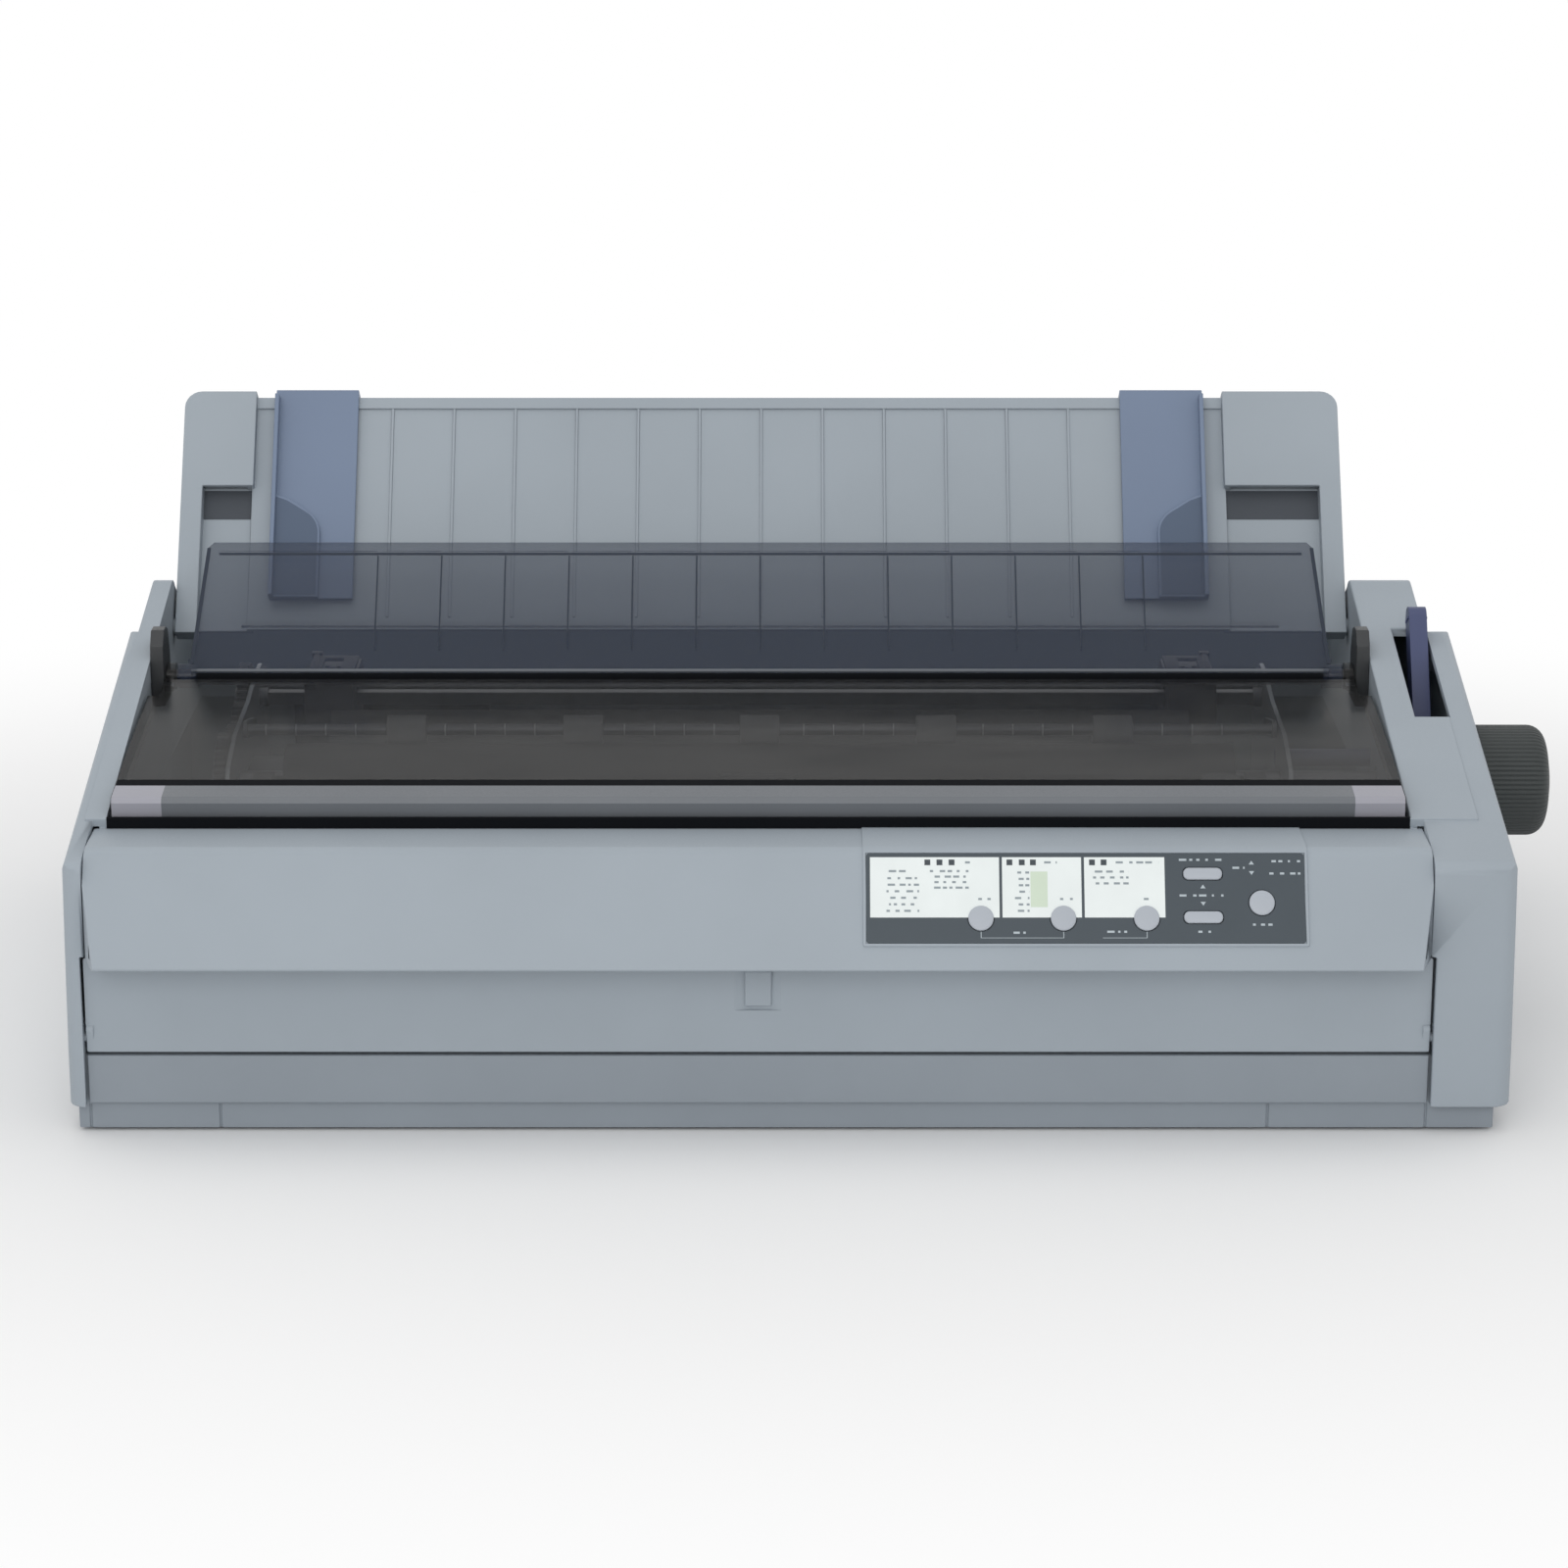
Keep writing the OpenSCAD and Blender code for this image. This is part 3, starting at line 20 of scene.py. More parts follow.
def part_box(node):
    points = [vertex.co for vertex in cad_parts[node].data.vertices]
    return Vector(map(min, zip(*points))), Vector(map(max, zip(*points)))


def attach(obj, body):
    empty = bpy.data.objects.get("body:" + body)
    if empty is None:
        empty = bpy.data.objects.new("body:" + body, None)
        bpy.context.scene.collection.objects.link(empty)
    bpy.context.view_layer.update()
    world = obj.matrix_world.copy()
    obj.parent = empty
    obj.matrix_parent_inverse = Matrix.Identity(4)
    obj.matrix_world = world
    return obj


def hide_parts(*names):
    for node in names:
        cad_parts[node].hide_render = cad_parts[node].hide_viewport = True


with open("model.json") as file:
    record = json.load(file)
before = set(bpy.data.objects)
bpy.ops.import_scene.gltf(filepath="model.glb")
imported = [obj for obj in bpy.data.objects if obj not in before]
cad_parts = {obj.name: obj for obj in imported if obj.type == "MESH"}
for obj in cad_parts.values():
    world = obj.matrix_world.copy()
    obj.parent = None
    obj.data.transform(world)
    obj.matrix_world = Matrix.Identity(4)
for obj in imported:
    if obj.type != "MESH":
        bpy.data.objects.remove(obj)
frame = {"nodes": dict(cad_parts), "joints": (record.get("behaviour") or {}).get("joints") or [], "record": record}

bl_info = {
    "name": "Dot Matrix Printer Looks",
    "version": (1, 0, 0),
    "blender": (4, 5, 0),
    "location": "View3D > Sidebar > Printer",
    "description": "Dresses the packed frame of a dot matrix printer with its finishes and fine pieces",
    "category": "Add Mesh",
}

MM = 0.001

# ---- Places that the frame gives ----------------------------------------------------------------

RECORD = frame["record"]
SLOT_OF = {part["node"]: part["material_slot"] for part in RECORD["subparts"]}
BODY_OF = {node: body for body, nodes in RECORD["behaviour"]["bodies"].items() for node in nodes}
PIVOT = {joint["name"]: Vector(joint.get("pos_m") or (0, 0, 0)) for joint in frame["joints"]}

PAPER_X = -30.5 * MM
WING_Y = -183.0 * MM
OVERLAY_H = 0.6

# Leaning planes: y and z of a line that each passes through, and its lean back from upright
NOSE = (8.0, 123.6, math.atan2(26.0, 44.6))
COVER = (186.0, 151.0, math.radians(90 - 6.7))
LID = (186.0, 151.0, math.radians(40))
GUIDE = (258.0, 156.0, math.radians(34))


def place(points):
    """Millimetres from the paper path, the wing front and the table, as metres in the row frame."""
    return np.asarray(points, float) * MM + (PAPER_X, WING_Y, 0.0)


def on_plane(plane, points):
    """Places on a leaning plane: across it, up it from its line, and out of its face."""
    across, up, out = np.asarray(points, float).T
    y0, z0, lean = plane
    y = y0 + up * math.sin(lean) - out * math.cos(lean)
    z = z0 + up * math.cos(lean) + out * math.sin(lean)
    return place(np.stack([across, y, z], axis=1))


def on_nose(points):
    """Places on the nose panel: across it, down its face from its top edge, and out of its face."""
    return on_plane(NOSE, np.asarray(points, float) * (1, -1, 1))


on_cover, on_lid, on_guide = (partial(on_plane, plane) for plane in (COVER, LID, GUIDE))


# ---- Colour -------------------------------------------------------------------------------------


def linear(colour):
    """An sRGB hex colour as linear values."""
    values = [int(colour[i:i + 2], 16) / 255 for i in (1, 3, 5)]
    return tuple(v / 12.92 if v <= 0.04045 else ((v + 0.055) / 1.055) ** 2.4 for v in values)


def rgba(colour):
    """A colour property as the four values that a shader socket takes."""
    return (*colour, 1.0)


# ---- Settings that a user would change ----------------------------------------------------------


def colour_of(name, description, colour):
    return FloatVectorProperty(name=name, description=description, subtype="COLOR", size=3, min=0, max=1,
                               default=linear(colour))


def share_of(name, description, share):
    return FloatProperty(name=name, description=description, subtype="FACTOR", min=0, max=1, default=share)


def length_of(name, description, millimetres):
    return FloatProperty(name=name, description=description, unit="LENGTH", subtype="DISTANCE", min=0,
                         precision=5, default=millimetres * MM)


class CasingLook(PropertyGroup):
    case: colour_of("Casing", "Moulded plastic of the upper case, cover and sheet guide", "#9AA3AB")
    base: colour_of("Base", "Moulded plastic of the lower case", "#8A929A")
    texture: length_of("Texture", "Width of a grain of the spark-eroded texture", 0.9)
    edge: length_of("Edge radius", "Radius of the moulded edges", 0.9)


class SmokeLook(PropertyGroup):
    cover: colour_of("Cover tint", "Body colour of the smoke plastic over the mechanism", "#222222")
    lid: colour_of("Lid tint", "Body colour of the smoke plastic that stands up at the rear", "#2B3448")
    cover_density: share_of("Cover density", "Share of light that one face of the cover stops", 0.46)
    lid_density: share_of("Lid density", "Share of light that one face of the lid stops", 0.40)


class AccentLook(PropertyGroup):
    edge_guide: colour_of("Edge guides", "Blue-grey plastic of the edge guides", "#707F97")
    lever: colour_of("Release lever", "Dark blue plastic of the release lever", "#3F476A")
    knob: colour_of("Knob", "Grey-green plastic of the paper feed knob", "#3A3E3E")
    button: colour_of("Buttons", "Light plastic of the push buttons", "#A9AFB7")
    film: colour_of("Panel film", "Printed film of the control panel", "#3E474E")
    print_white: colour_of("Print", "White ink of the panel film", "#E4EAE9")


class StageLook(PropertyGroup):
    elevation: FloatProperty(name="Camera elevation", description="Angle that the camera looks down",
                             subtype="ANGLE", unit="ROTATION", default=math.radians(16))
    distance: length_of("Camera distance", "From the camera to the front of the wings", 1800)
    lens: FloatProperty(name="Lens", description="Focal length on a 36 mm wide sensor", min=1, default=100.3,
                        subtype="DISTANCE_CAMERA", unit="CAMERA")
    sky: FloatProperty(name="Sky", description="Light of the white surroundings", min=0, default=0.70)


class PrinterLook(PropertyGroup):
    casing: PointerProperty(type=CasingLook, name="Casing", description="Finish of the moulded casing")
    smoke: PointerProperty(type=SmokeLook, name="Smoke covers", description="Finish of the tinted covers")
    accent: PointerProperty(type=AccentLook, name="Accents", description="Colours of the small parts")
    stage: PointerProperty(type=StageLook, name="Stage", description="Camera, light and floor")
    knob_ribs: IntProperty(name="Knob ribs", description="Grip ribs round the paper feed knob", min=12,
                           default=72)


def look():
    return bpy.context.scene.printer_look


# ---- Mesh helpers -------------------------------------------------------------------------------

WELD = 0.002 * MM  # points this near are one
FLAT = math.radians(0.4)  # faces that turn less than this lie in one plane
SHARP = math.radians(27)  # edges that turn more than this are rounded or creased
RUNS_ON = math.radians(35)  # an edge that turns less than this goes on from the last
CLOSE = 0.3 * MM  # how far off an edge looks for its own piece
ROOM = 0.42  # share of a face's width that one rounding may take
LEAST = 0.12  # share of the full radius below which an edge is a crease


def placed(name, data):
    """A new object in the scene."""
    thing = bpy.data.objects.new(name, data)
    bpy.context.scene.collection.objects.link(thing)
    return thing


def finish(piece, material, body, slot, *replaced):
    """Gives a new piece its material and its body, and hides the CAD nodes that it stands for. The slot is not
    used.
    """
    piece.data.materials.clear()
    piece.data.materials.append(material)
    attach(piece, body)
    if replaced:
        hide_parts(*replaced)
    return piece


def mesh_piece(name, points, faces, smooth=True):
    """A new object whose mesh has these points and faces, with coinciding points made one."""
    mesh = bpy.data.meshes.new(name)
    mesh.from_pydata(np.asarray(points).tolist(), [], [[int(corner) for corner in face] for face in faces])
    shape = bmesh.new()
    shape.from_mesh(mesh)
    bmesh.ops.remove_doubles(shape, verts=shape.verts, dist=WELD)
    bmesh.ops.recalc_face_normals(shape, faces=shape.faces)
    for face in shape.faces:
        face.smooth = smooth
    shape.to_mesh(mesh)
    shape.free()
    return placed(name, mesh)


def join_flat_faces(shape):
    """Makes each flat stretch one face. A stretch with holes keeps only the cuts that meet its edges
    squarely, because a slanting cut spoils the rounding."""
    bmesh.ops.dissolve_limit(shape, angle_limit=FLAT, verts=shape.verts, edges=shape.edges)
    bmesh.ops.triangulate(shape, faces=[face for face in shape.faces if len(face.verts) > 4])

    def squareness(cut):
        along = cut.verts[1].co - cut.verts[0].co
        sines = [1.0]
        for vert in cut.verts:
            for edge in vert.link_edges:
                if edge is not cut and edge.calc_face_angle(0) > FLAT:
                    side = edge.verts[1].co - edge.verts[0].co
                    sines.append(along.cross(side).length / (along.length * side.length))
        return min(sines) - 0.2 * along.length

    cuts = [edge for edge in shape.edges if len(edge.link_faces) == 2 and edge.calc_face_angle(9) < FLAT]
    for cut in sorted(cuts, key=squareness):
        if cut.is_valid and len(cut.link_faces) == 2:
            pair = list(cut.link_faces)
            shared = [edge for edge in pair[0].edges if edge in pair[1].edges]
            if len(shared) == 1 and len(set(pair[0].verts) & set(pair[1].verts)) == 2:
                bmesh.utils.face_join(pair)


def least_width(loop):
    """The least way across a face from one of its edges, measured square to it from five places on it."""
    start = loop.vert.co
    along = loop.link_loop_next.vert.co - start
    length = along.length
    along = along / length
    inward = loop.face.normal.cross(along)
    corners = np.array([vert.co for vert in loop.face.verts]) - start
    u, w = corners @ np.array(along), corners @ np.array(inward)
    u_next, w_next = np.roll(u, -1), np.roll(w, -1)
    at = length * np.linspace(0.1, 0.9, 5)[:, None]
    crossed = (u - at) * (u_next - at) < 0
    run = np.where(crossed, u_next - u, 1.0)
    width = np.where(crossed, w + (at - u) / run * (w_next - w), np.inf)
    return float(np.min(width[width > WELD], initial=1.0))


def even_out(rooms):
    """Edges that run on from one another round a curve all take the least room among them."""
    done = set()
    for least in sorted(rooms, key=rooms.get):
        waiting = [least]
        while waiting:
            edge = waiting.pop()
            if edge in done:
                continue
            done.add(edge)
            rooms[edge] = rooms[least]
            for vert in edge.verts:
                pair = [near for near in vert.link_edges if near in rooms]
                if len(pair) == 2:
                    ways = [near.other_vert(vert).co - vert.co for near in pair]
                    if ways[0].angle(ways[1], 0) > math.pi - RUNS_ON:
                        waiting += pair


def weigh_edges(shape, radius):
    """Weights each sharp edge for rounding. It gets the full radius where there is room, and less where it
    runs into a short edge or borders a narrow face. One with no room, or one that looks at its own piece from
    close by, stays a crease."""
    weight = shape.edges.layers.float.new("bevel_weight_edge")
    own = BVHTree.FromBMesh(shape)
    rooms = {}
    for edge in shape.edges:
        if len(edge.link_faces) != 2 or edge.calc_face_angle(0) < SHARP:
            continue
        out = (edge.link_faces[0].normal + edge.link_faces[1].normal).normalized()
        middle = (edge.verts[0].co + edge.verts[1].co) / 2
        along = (edge.verts[1].co - edge.verts[0].co).normalized()
        room = 0 if own.ray_cast(middle + out * CLOSE, out)[0] else radius
        for loop in edge.link_loops:
            room = min(room, ROOM * least_width(loop))
            for near in (loop.link_loop_prev.edge, loop.link_loop_next.edge):
                side = near.verts[1].co - near.verts[0].co
                if side.length > 0 and along.cross(side).length > 0.5 * side.length:
                    room = min(room, ROOM * along.cross(side).length)
        rooms[edge] = room
    even_out(rooms)
    for edge, room in rooms.items():
        if room < LEAST * radius:
            edge.smooth = False
        else:
            edge[weight] = room / radius


def add_rounding(piece, radius):
    """Rounds the weighted edges, and shades by area, so that flat faces look flat beside their curves."""
    bevel = piece.modifiers.new("Rounded edges", "BEVEL")
    bevel.width = radius
    bevel.segments = 2
    bevel.limit_method = "WEIGHT"
    bevel.use_clamp_overlap = False
    bevel.miter_outer = "MITER_ARC"
    bevel.loop_slide = False
    normals = piece.modifiers.new("Flat faces first", "WEIGHTED_NORMAL")
    normals.mode = "FACE_AREA"
    normals.keep_sharp = True


def softened(node, radius):
    """A copy of a CAD piece with whole flat faces and with its sharp edges rounded."""
    mesh = frame["nodes"][node].data.copy()
    mesh.name = node + "_moulded"
    if "custom_normal" in mesh.attributes:
        mesh.attributes.remove(mesh.attributes["custom_normal"])
    shape = bmesh.new()
    shape.from_mesh(mesh)
    bmesh.ops.remove_doubles(shape, verts=shape.verts, dist=WELD)
    join_flat_faces(shape)
    for face in shape.faces:
        face.smooth = True
    weigh_edges(shape, radius)
    shape.to_mesh(mesh)
    shape.free()
    piece = placed(node + "_moulded", mesh)
    add_rounding(piece, radius)
    return piece


def dress(node, material, radius):
    """Finishes one CAD node: as it is, or as a copy with rounded edges that stands for it."""
    if radius > 0:
        return finish(softened(node, radius * MM), material, BODY_OF[node], SLOT_OF[node], node)
    piece = frame["nodes"][node]
    for slot in piece.material_slots:
        slot.material = material
    return piece


def new_piece(name, shape, where, paint, body, slot, *replaced, shading="flat"):
    """A finished new piece, of a shape's faces and of its points as `where` places them. Its shading is flat,
    smooth, or creased: smooth but for its sharp edges."""
    points, faces = shape
    piece = mesh_piece(name, where(points), faces, smooth=shading != "flat")
    if shading == "creased":
        piece.data.set_sharp_from_angle(angle=SHARP)
    return finish(piece, material_named(paint), body, slot, *replaced)


def grid_faces(rows, columns):
    """Quads of a grid of points numbered row by row, which closes round along its columns."""
    i, j = np.meshgrid(np.arange(rows - 1), np.arange(columns), indexing="ij")
    after = (j + 1) % columns
    corners = [i * columns + j, i * columns + after, (i + 1) * columns + after, (i + 1) * columns + j]
    return np.stack(corners, axis=-1).reshape(-1, 4)


def prisms(outlines, low, high):
    """Closed prisms: each outline of two values, with as many corners as the others, is carried along a third
    value from low to high. Gives the corners and the faces."""
    outlines = np.asarray(outlines, float)
    count, n = outlines.shape[:2]
    points = np.zeros((count, 2, n, 3))
    points[..., :2] = outlines[:, None]
    points[..., 2] = np.array([low, high])[None, :, None]
    corner = np.arange(n)
    after = (corner + 1) % n
    shell = np.stack([corner, after, after + n, corner + n], axis=1).tolist()
    shell += [corner[::-1].tolist(), (corner + n).tolist()]
    faces = [[2 * n * i + place_in for place_in in face] for i in range(count) for face in shell]
    return points.reshape(-1, 3), faces


def plates(rectangles, low, high):
    """Thin plates on a plane: each is across from and to, along from and to, between two heights."""
    x0, x1, t0, t1 = np.asarray(rectangles, float).T
    ring = [(x0, t0), (x1, t0), (x1, t1), (x0, t1)]
    return prisms(np.stack([np.stack(corner, axis=1) for corner in ring], axis=1), low, high)


def bar(section, x0, x1):
    """A bar across the printer: x from one end to the other, and a section of two values."""
    points, faces = prisms([section], x0, x1)
    return points[:, [2, 0, 1]], faces


def turned(at, axis, profile, steps=24):
    """Surfaces of revolution round an axis along x through y and z. At each place along it, a profile of
    distances and radii is carried round: one parameter runs along the profile, the other is the angle."""
    along, radius = np.asarray(profile, float).T
    angle = np.linspace(0, 2 * math.pi, steps, endpoint=False)
    x = np.asarray(at, float)[:, None, None] + along[:, None] + 0 * angle
    y = axis[0] + radius[:, None] * np.cos(angle) + 0 * x
    z = axis[1] + radius[:, None] * np.sin(angle) + 0 * x
    one = grid_faces(len(along), steps)
    faces = (one[None] + len(along) * steps * np.arange(len(at))[:, None, None]).reshape(-1, 4)
    return np.stack([x, y, z], axis=-1).reshape(-1, 3), faces


# ---- Materials ----------------------------------------------------------------------------------


def add(tree, kind, inputs=None, **settings):
    """Adds a node. An input is a value, the output that feeds it, or a node, whose first output does."""
    node = tree.nodes.new(kind)
    for name, value in settings.items():
        setattr(node, name, value)
    for name, value in (inputs or {}).items():
        if isinstance(value, bpy.types.Node):
            value = value.outputs[0]
        if isinstance(value, bpy.types.NodeSocket):
            tree.links.new(value, node.inputs[name])
        else:
            node.inputs[name].default_value = value
    return node


def new_material(name):
    """A material with an empty tree: (the material, its tree, its Object coordinates)."""
    material = bpy.data.materials.new(name)
    material.use_nodes = True
    tree = material.node_tree
    tree.nodes.clear()
    return material, tree, add(tree, "ShaderNodeTexCoord").outputs["Object"]


def end_with(tree, shader):
    add(tree, "ShaderNodeOutputMaterial", {"Surface": shader})


def scaled(tree, where, *scale):
    return add(tree, "ShaderNodeMapping", {"Vector": where, "Scale": scale})


def noise(tree, where, width, detail, roughness=0.5):
    """Noise whose grains are about this wide."""
    return add(tree, "ShaderNodeTexNoise", {"Vector": where, "Scale": 1 / width, "Detail": detail,
                                            "Roughness": roughness})


def ranged(tree, value, least, most, within=(0.0, 1.0), **settings):
    """A value that goes from least to most while another goes through a range."""
    return add(tree, "ShaderNodeMapRange", {"Value": value, "From Min": within[0], "From Max": within[1],
                                            "To Min": least, "To Max": most}, **settings)


def bumps(tree, height, strength, depth):
    return add(tree, "ShaderNodeBump", {"Height": height, "Strength": strength, "Distance": depth})


def shades(tree, factor, colour, spread):
    """The colour varied by a factor, a little darker and a little lighter than it is written."""
    ramp = add(tree, "ShaderNodeValToRGB", {"Fac": factor})
    for stop, way, position in zip(ramp.color_ramp.elements, (-1, 1), (0.3, 0.7)):
        stop.color = rgba([min(1, c * (1 + way * spread)) for c in colour])
        stop.position = position
    return ramp


# Each finish adds its nodes to a tree, and gives the inputs of the Principled shader that ends it


def moulded_plastic(tree, where, colour, roughness, gloss=0.4, texture=0.9 * MM):
    """ABS from a spark-eroded mould: an even colour under a fine pitted texture that breaks up the shine.
    The real texture is about 0.2 mm wide and is drawn coarser, so that it shows."""
    tone, pits = noise(tree, where, 70 * MM, 3.0), noise(tree, where, texture, 2.0, 0.6)
    return {
        "Base Color": shades(tree, tone, colour, 0.03),
        "Roughness": ranged(tree, pits, roughness - 0.06, roughness + 0.06, (0.3, 0.7)),
        "Normal": bumps(tree, pits, 0.35, 0.05 * MM), "Specular IOR Level": gloss, "IOR": 1.53}


def smoke_plastic(tree, where, colour, density, gloss):
    """Smoke-tinted acrylic, cast and polished: clear, dark, with faint wipe marks in its shine."""
    marks = noise(tree, scaled(tree, where, 1.0, 5.0, 5.0), 60 * MM, 4.0)
    return {
        "Base Color": rgba(colour), "Roughness": ranged(tree, marks, 0.10, 0.22, (0.35, 0.7)),
        "Alpha": density, "IOR": 1.49, "Specular IOR Level": gloss}


def ground_steel(tree, where, colour, roughness):
    """Steel bar, ground round its length: bright, with fine rings across it, 0.4 mm apart."""
    lines = noise(tree, scaled(tree, where, 1.0, 0.02, 0.02), 0.4 * MM, 2.0)
    return {
        "Base Color": shades(tree, lines, colour, 0.06), "Metallic": 1.0,
        "Roughness": ranged(tree, lines, roughness - 0.08, roughness + 0.12)}


def zinc_sheet(tree, where, colour):
    """Zinc-plated sheet steel: a dull bluish metal with soft cloudy patches, 12 mm across."""
    cloud, grain = noise(tree, where, 12 * MM, 5.0), noise(tree, where, 0.7 * MM, 2.0)
    return {
        "Base Color": shades(tree, cloud, colour, 0.10), "Metallic": 1.0,
        "Roughness": ranged(tree, cloud, 0.32, 0.52), "Normal": bumps(tree, grain, 0.15, 0.03 * MM)}


def painted_steel(tree, where, colour):
    """Black-oxide steel can of a motor: dark satin metal, a little rubbed."""
    rub = noise(tree, where, 6 * MM, 6.0)
    return {
        "Base Color": shades(tree, rub, colour, 0.15), "Metallic": 0.7,
        "Roughness": ranged(tree, rub, 0.30, 0.50)}


def anodised_aluminium(tree, where, colour):
    """Black anodised die casting of the print head: matt, with the faint sparkle of the blasted skin."""
    skin = add(tree, "ShaderNodeTexVoronoi", {"Vector": where, "Scale": 1 / (0.5 * MM)})
    return {
        "Base Color": shades(tree, skin, colour, 0.12), "Metallic": 0.85, "Roughness": 0.42,
        "Normal": bumps(tree, skin, 0.2, 0.05 * MM)}


def ground_rubber(tree, where, colour):
    """Nitrile rubber ground true on a lathe: matt, with fine turning marks, 0.5 mm apart."""
    marks = noise(tree, scaled(tree, where, 1.0, 0.05, 0.05), 0.5 * MM, 3.0)
    return {
        "Base Color": shades(tree, marks, colour, 0.12), "Roughness": 0.72,
        "Normal": bumps(tree, marks, 0.3, 0.04 * MM), "Specular IOR Level": 0.35, "IOR": 1.52}


def acetal(tree, where, colour):
    """Acetal of moulded gears: waxy, slightly milky, with a soft sheen."""
    tone = noise(tree, where, 9 * MM, 2.0)
    return {
        "Base Color": shades(tree, tone, colour, 0.03), "Roughness": ranged(tree, tone, 0.30, 0.42),
        "IOR": 1.48, "Subsurface Weight": 0.15, "Subsurface Radius": (2 * MM, 1.8 * MM, 1.5 * MM)}


def inked_nylon(tree, where, colour):
    """Woven nylon ribbon soaked with ink: nearly black, with its plain weave, drawn at 0.6 mm."""
    along, across = (
        add(tree, "ShaderNodeTexWave", {"Vector": where, "Scale": 1 / (0.6 * MM * 20)}, bands_direction=way)
        for way in "XZ")
    weave = add(tree, "ShaderNodeMath", {0: along.outputs["Fac"], 1: across.outputs["Fac"]},
                operation="MULTIPLY")
    return {
        "Base Color": shades(tree, weave, colour, 0.3), "Roughness": 0.6,
        "Normal": bumps(tree, weave, 0.4, 0.1 * MM), "Sheen Weight": 0.2}


def circuit_board(tree, where, colour):
    """Glass-epoxy board under green solder mask: glossy, with darker bare runs 3 mm apart."""
    runs = add(tree, "ShaderNodeTexBrick", {
        "Vector": where, "Scale": 1 / (40 * MM), "Color1": rgba(colour),
        "Color2": rgba(linear("#246742")), "Mortar": rgba(linear("#17442B")), "Mortar Size": 0.02,
        "Brick Width": 0.35, "Row Height": 0.075})
    return {"Base Color": runs, "Roughness": 0.28, "IOR": 1.55}


def printed_film(tree, where, colour, roughness):
    """Polyester film printed on its back: an even ink under a satin skin with a faint orange peel."""
    tone, peel = noise(tree, where, 15 * MM, 2.0), noise(tree, where, 1.2 * MM, 1.0)
    return {
        "Base Color": shades(tree, tone, colour, 0.02), "Roughness": roughness,
        "Normal": bumps(tree, peel, 0.12, 0.03 * MM), "IOR": 1.57, "Specular IOR Level": 0.3}


MADE = {}


def material_named(name):
    """One of the printer's finishes, made when it is first asked for."""
    casing, smoke, accent = look().casing, look().smoke, look().accent
    moulded = {  # colour, roughness, gloss and width of a grain
        "casing_abs": (casing.case, 0.5, 0.4, casing.texture),
        "base_abs": (casing.base, 0.5, 0.4, casing.texture),
        "edge_guide_abs": (accent.edge_guide, 0.4),
        # Painted shade on the tops of the edge guides' thick blocks
        "guide_block_painted_shade": ("#4D5C72", 0.45),
        "lever_abs": (accent.lever, 0.4),
        "knob_abs": (accent.knob, 0.5, 0.3),
        "button_abs": (accent.button, 0.4, 0.4, 0.5 * MM),
        "bracket_abs": ("#2E3032", 0.45),
        "black_abs": ("#232426", 0.5),
        # Painted shade in the sheet guide's pockets
        "pocket_painted_shade_abs": ("#43484F", 0.55, 0.3),
        # A painted highlight along the lid's hinge bar
        "painted_highlight_plastic": ("#5A5F66", 0.45),
        # Painted light seen through the cover's lip, lighter at its ends
        "lip_painted_light": ("#676B70", 0.4),
        "lip_tips_painted_light": ("#9A9AA3", 0.4),
        # Painted shade on the lid's cut edges, under its top step and along its ribs
        "painted_lid_shade": ("#2C333F", 0.5, 0.2),
        # Near black: the gauze's own colour, and painted shade on the strips by the cover's lip and the lid's
        # hinge
        "black_and_painted_shade": ("#0D0F13", 0.9, 0.1),
        "foot_rubber": ("#26272A", 0.75, 0.3)}
    printed = {  # colour and roughness
        "panel_film": (accent.film, 0.38),
        "panel_white_ink": (accent.print_white, 0.45),
        "panel_grey_ink": ("#8D979C", 0.45),
        "panel_green_ink": ("#CBD9C6", 0.45),
        "panel_light_ink": ("#AEB8BE", 0.45),
        "lamp_lens": ("#3A4248", 0.25),
        "tick_paint": ("#B9BBBE", 0.5)}
    others = {
        "cover_smoke_acrylic": (smoke_plastic, smoke.cover, smoke.cover_density, 0.30),
        "lid_smoke_acrylic": (smoke_plastic, smoke.lid, smoke.lid_density, 0.35),
        "platen_rubber": (ground_rubber, "#232426"),
        "roller_rubber": (ground_rubber, "#8C8D8F"),
        "ground_steel": (ground_steel, "#B9BBBE", 0.24),
        "rod_steel": (ground_steel, "#6C6E72", 0.34),
        "zinc_sheet": (zinc_sheet, "#A9ADB1"),
        "motor_steel": (painted_steel, "#43454A"),
        "head_aluminium": (anodised_aluminium, "#2C2D30"),
        "gear_acetal": (acetal, "#4C4D50"),
        "ribbon_nylon": (inked_nylon, "#141416"),
        "circuit_board": (circuit_board, "#1E5A38")}
    if name not in MADE:
        maker, *values = ((moulded_plastic, *moulded[name]) if name in moulded else
                          (printed_film, *printed[name]) if name in printed else others[name])
        MADE[name], tree, where = new_material(name)
        inputs = maker(tree, where, *[linear(v) if isinstance(v, str) else v for v in values])
        end_with(tree, add(tree, "ShaderNodeBsdfPrincipled", inputs))
    return MADE[name]


# ---- Operators ----------------------------------------------------------------------------------


class Dresser:
    """Base of the operators that finish CAD nodes and add the pieces that go with them"""
    FINISHES = ()  # rows of a finish, an edge radius in millimetres (None is the setting's) and nodes

    def execute(self, context):
        for paint, radius, nodes in self.FINISHES:
            if radius is None:
                radius = look().casing.edge / MM
            for node in nodes.split():
                dress(node, material_named(paint), radius)
        self.add_pieces()
        return {"FINISHED"}

    def add_pieces(self):
        """Adds the pieces that the CAD has no node for, where there are any."""


